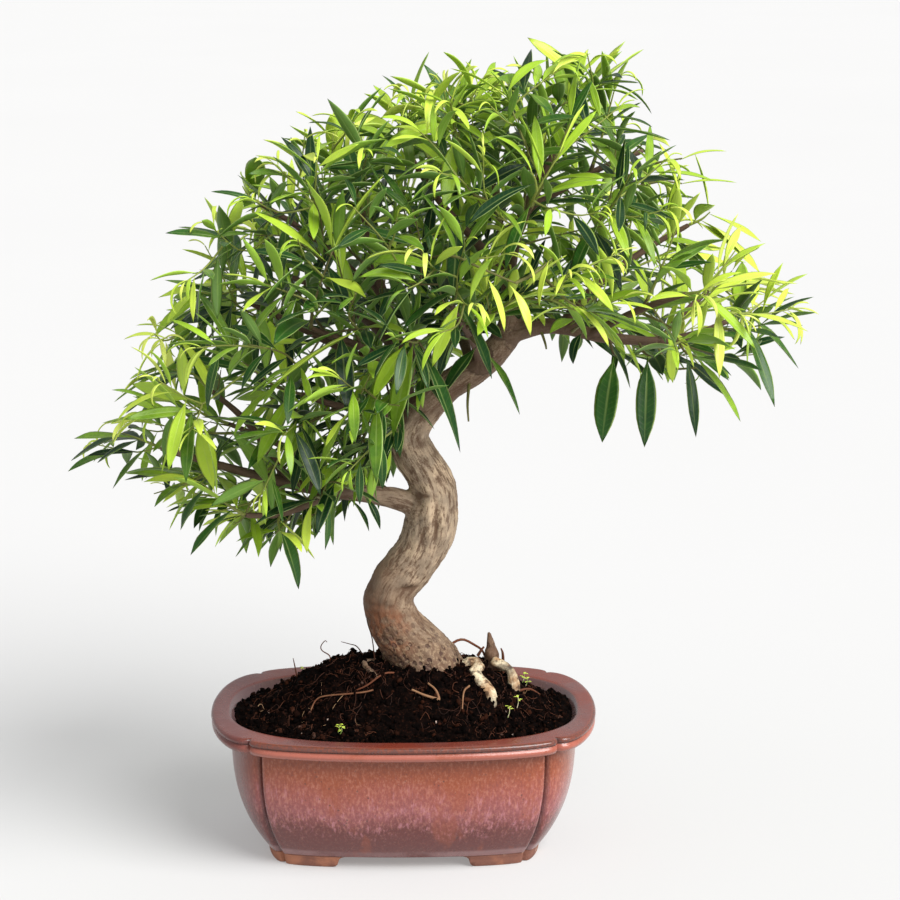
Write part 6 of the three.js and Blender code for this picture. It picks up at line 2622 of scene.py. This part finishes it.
@dataclass(frozen=True)
class ClayFinish:
    """Bare fired clay of the feet."""

    body: Colour = (0.36, 0.15, 0.088)
    burnt: Colour = (0.2, 0.085, 0.06)
    bloom: Colour = (0.6, 0.45, 0.36)

    def material(self) -> Material:
        """Builds the material.

        Returns:
            The material.
        """
        p = Paint("bare_clay")
        cloud, fine = p.speckle(p.place, 60, 4, 0.6), p.speckle(p.place, 1300, 3, 0.7)
        colour = p.blend(cloud.ramp(0.4, 0.65), self.body, self.burnt)
        colour = p.blend(fine.ramp(0.55, 0.7) * 0.4, colour, self.burnt)
        x, _, z = p.place.parts()
        colour = p.blend(z.ramp(0.0056, 0.0064) * 0.6, colour, self.burnt)
        colour = p.blend(x.ramp(0.02, 0.04) * p.speckle(p.place, 210).ramp(0.6, 0.68) * 0.7, colour, self.bloom)
        p.set(Base_Color=colour, Roughness=0.78, Specular_IOR_Level=0.25)
        p.relief(cloud * 0.4 + fine, 0.0005, 0.6)
        return p.material


@dataclass(frozen=True)
class ScreenFinish:
    """Black plastic of the drainage screens."""

    black: Colour = (0.015, 0.015, 0.016)
    scuffed: Colour = (0.05, 0.05, 0.052)

    def material(self) -> Material:
        """Builds the material.

        Returns:
            The material.
        """
        p = Paint("screen_plastic")
        cloud = p.speckle(p.place, 240, 4, 0.6)
        p.set(Base_Color=p.blend(cloud.ramp(0.45, 0.7), self.black, self.scuffed),
              Roughness=cloud.ramp(0.3, 0.7, 0.42, 0.6), Specular_IOR_Level=0.4)
        p.relief(cloud, 0.0002, 0.4)
        return p.material


# The studio


@dataclass
class Studio:
    """The pale floor, the soft light and the camera at the photograph's angle."""

    eye: Place = (-0.0141, -1.4, 0.5271)
    target: Place = (0.0048, 0.0, 0.2108)
    lens: float = 111.78
    floor_half: float = 60.0
    sky: Colour = (0.5, 0.508, 0.516)
    suns: tuple = (((0.95, -0.9, 1.2), 5.2, 44), ((-0.7, -0.9, 0.75), 0.15, 70))

    def build(self) -> None:
        """Makes the floor, the lights and the camera."""
        scene = bpy.context.scene
        scene.view_settings.view_transform = "Standard"
        h = self.floor_half / MM
        corners = np.array([(-h, -h, 0), (h, -h, 0), (h, h, 0), (-h, h, 0)])
        floor = mesh_piece("floor", corners, [(0, 1, 2, 3)], False)
        paint = Paint("pale_floor")
        cloud = paint.speckle(paint.place, 2.0)
        paint.set(Base_Color=paint.blend(cloud, (0.42, 0.417, 0.413), (0.435, 0.432, 0.428)), Roughness=0.85,
                  Specular_IOR_Level=0.1, Emission_Color=(1, 0.995, 0.99, 1), Emission_Strength=0.26)
        floor.data.materials.append(paint.material)
        floor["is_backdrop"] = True
        for number, (way, strength, spread) in enumerate(self.suns):
            light = bpy.data.lights.new(f"sun_{number}", "SUN")
            light.energy, light.angle = strength, math.radians(spread)
            lamp = bpy.data.objects.new(light.name, light)
            lamp.rotation_euler = Vector(way).to_track_quat("Z", "Y").to_euler()
            scene.collection.objects.link(lamp)
        world = bpy.data.worlds.new("sky")
        world.use_nodes = True
        world.node_tree.nodes["Background"].inputs["Color"].default_value = (*self.sky, 1)
        scene.world = world
        camera = bpy.data.objects.new("camera", bpy.data.cameras.new("camera"))
        camera.data.lens = self.lens
        camera.location = self.eye
        aim = Vector(self.target) - Vector(self.eye)
        camera.rotation_euler = aim.to_track_quat("-Z", "Y").to_euler()
        scene.collection.objects.link(camera)
        scene.camera = camera


# Putting it together


def finish_piece(piece: Piece, material: Material | None = None) -> Piece:
    """Dresses a piece and hangs it on the one body.

    Args:
        piece: the piece, with its place in its mesh.
        material: its finish, where its mesh has none yet.

    Returns:
        The piece.
    """
    if material is not None:
        piece.data.materials.clear()
        piece.data.materials.append(material)
    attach(piece, "root")
    piece.data.calc_loop_triangles()
    LOG.info("%s: %d triangles", piece.name, len(piece.data.loop_triangles))
    return piece


@dataclass
class Crown:
    """All that grows on the limbs: the leaves of each bough and its stems."""

    growth: Growth
    thicket: Thicket
    seed: int = 21
    age_spread: Pair = (0.03, 0.16)
    twist_share: float = 0.5
    narrow: float = 0.78
    narrow_young: float = 0.68
    stem: Pair = (1.0, 0.28)
    thin_stem: Pair = (0.62, 0.28)
    spur: Pair = (1.35, 1.0)
    loose_stem: Pair = (0.9, 0.45)

    def dress(self, shoots: Sequence[Shoot]) -> None:
        """Gives each leaf its twist, shade and tone, and narrows the ones on shoots that were not listed.

        Args:
            shoots: the shoots with their leaves.
        """
        rng = np.random.default_rng(self.seed)
        for shoot in shoots:
            offset = 0.0 if shoot.hand else float(rng.normal(*self.age_spread))
            for blade in shoot.blades:
                blade.tone = min(max(blade.tone + offset, 0.0), 1.0)
                kind = kind_of(blade.tone)
                blade.twist = float(rng.normal(0, HABITS[kind].twist * self.twist_share))
                blade.shade = 0.5 + (float(rng.random()) - 0.5) * (0.3 if shoot.hand or not shoot.points else 1)
                if shoot.owner < self.thicket.loose_owner and shoot.hand is None:
                    blade.width *= self.narrow_young if kind is LeafKind.YOUNG else self.narrow

    def loose(self) -> Shoot:
        """The listed leaves with no shoot in the solids.

        Returns:
            A shoot of no length that holds them.
        """
        shoot = Shoot(self.thicket.loose_owner, [], self.growth.heart, bough="crown")
        for foot, tip, width, bend, tone in LOOSE_LEAVES:
            shoot.blades.append(self.growth.blade_to(vec(*foot), vec(*tip), width, bend, tone))
        return shoot

    def build(self, leaf: Material, twig: Material) -> list[Piece]:
        """Grows the crown and makes its pieces, one of leaves and one of stems for each bough.

        Args:
            leaf: finish of the leaves.
            twig: finish of the stems.

        Returns:
            The pieces.
        """
        self.growth.grow()
        solid_shoots = list(self.growth.shoots)
        added = self.thicket.fill()
        loose = self.loose()
        everything = solid_shoots + added + [loose]
        self.dress(everything)
        LOG.info("%d shoots and %d leaves", len(everything), sum(len(s.blades) for s in everything))
        pieces = []
        for bough in sorted({shoot.bough for shoot in everything}):
            own = [shoot for shoot in everything if shoot.bough == bough]
            blades = [blade for shoot in own for blade in shoot.blades]
            leaves = Foliage().build(f"leaves_{bough}", blades, leaf)
            nodes = [f"shoot_{i + 1:02d}" for i, shoot in enumerate(solid_shoots) if shoot.bough == bough]
            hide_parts(*nodes)
            pieces.append(finish_piece(leaves))
            stems = []
            for shoot in own:
                if shoot.points:
                    radii = self.stem if shoot.owner < self.thicket.first_owner else self.thin_stem
                    line = shoot.points if shoot.hand is None else [shoot.root, *shoot.points[1:]]
                    tone = min(1.0, 0.15 + 0.85 * self.growth.age_and_shade_of(shoot.points[-1], 1))
                    stems.append(Strand(line, radii, tone))
                    if shoot.owner < self.thicket.first_owner:
                        spur = [shoot.root, (shoot.root + line[0]) / 2, line[0]]
                        stems.append(Strand(spur, self.spur, 0.1, 2))
            if bough == "crown":
                stems += [Strand([vec(*p) for p in line], self.loose_stem, 0.35) for line in LOOSE_TWIGS]
            pieces.append(finish_piece(Strands().build(f"twigs_{bough}", stems, twig)))
        return pieces


def write_sizes() -> None:
    """Reckons the box of the solids and the box of the dressed object, and keeps neither."""
    boxes = {"solid": SOLID_BOX, "visual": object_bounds()}
    {name: [list(corner) for corner in box] for name, box in boxes.items()}


def main() -> None:
    """Builds the studio and every piece in order."""
    logging.basicConfig(level=logging.INFO, format="%(name)s: %(message)s")
    Studio().build()
    roots, soil = RootFinish(), SoilFinish()
    leaf, bark, twig = LeafFinish().material(), BarkFinish().material(), TwigFinish().material()
    LobedPot().build(GlazeFinish().material(), ClayFinish().material())
    SoilBed().build({"soil": soil.bed(), "crumbs": soil.crumbs(), "fibre": roots.fibre(), "leaf": leaf})
    Wood().build(bark, roots.thick())
    growth = Growth()
    Crown(growth, Thicket(growth)).build(leaf, twig)
    plastic = ScreenFinish().material()
    for name in ("drain_screen_left", "drain_screen_right"):
        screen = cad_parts[name]
        screen.data.materials.clear()
        screen.data.materials.append(plastic)
    write_sizes()


if __name__ == "__main__":
    main()
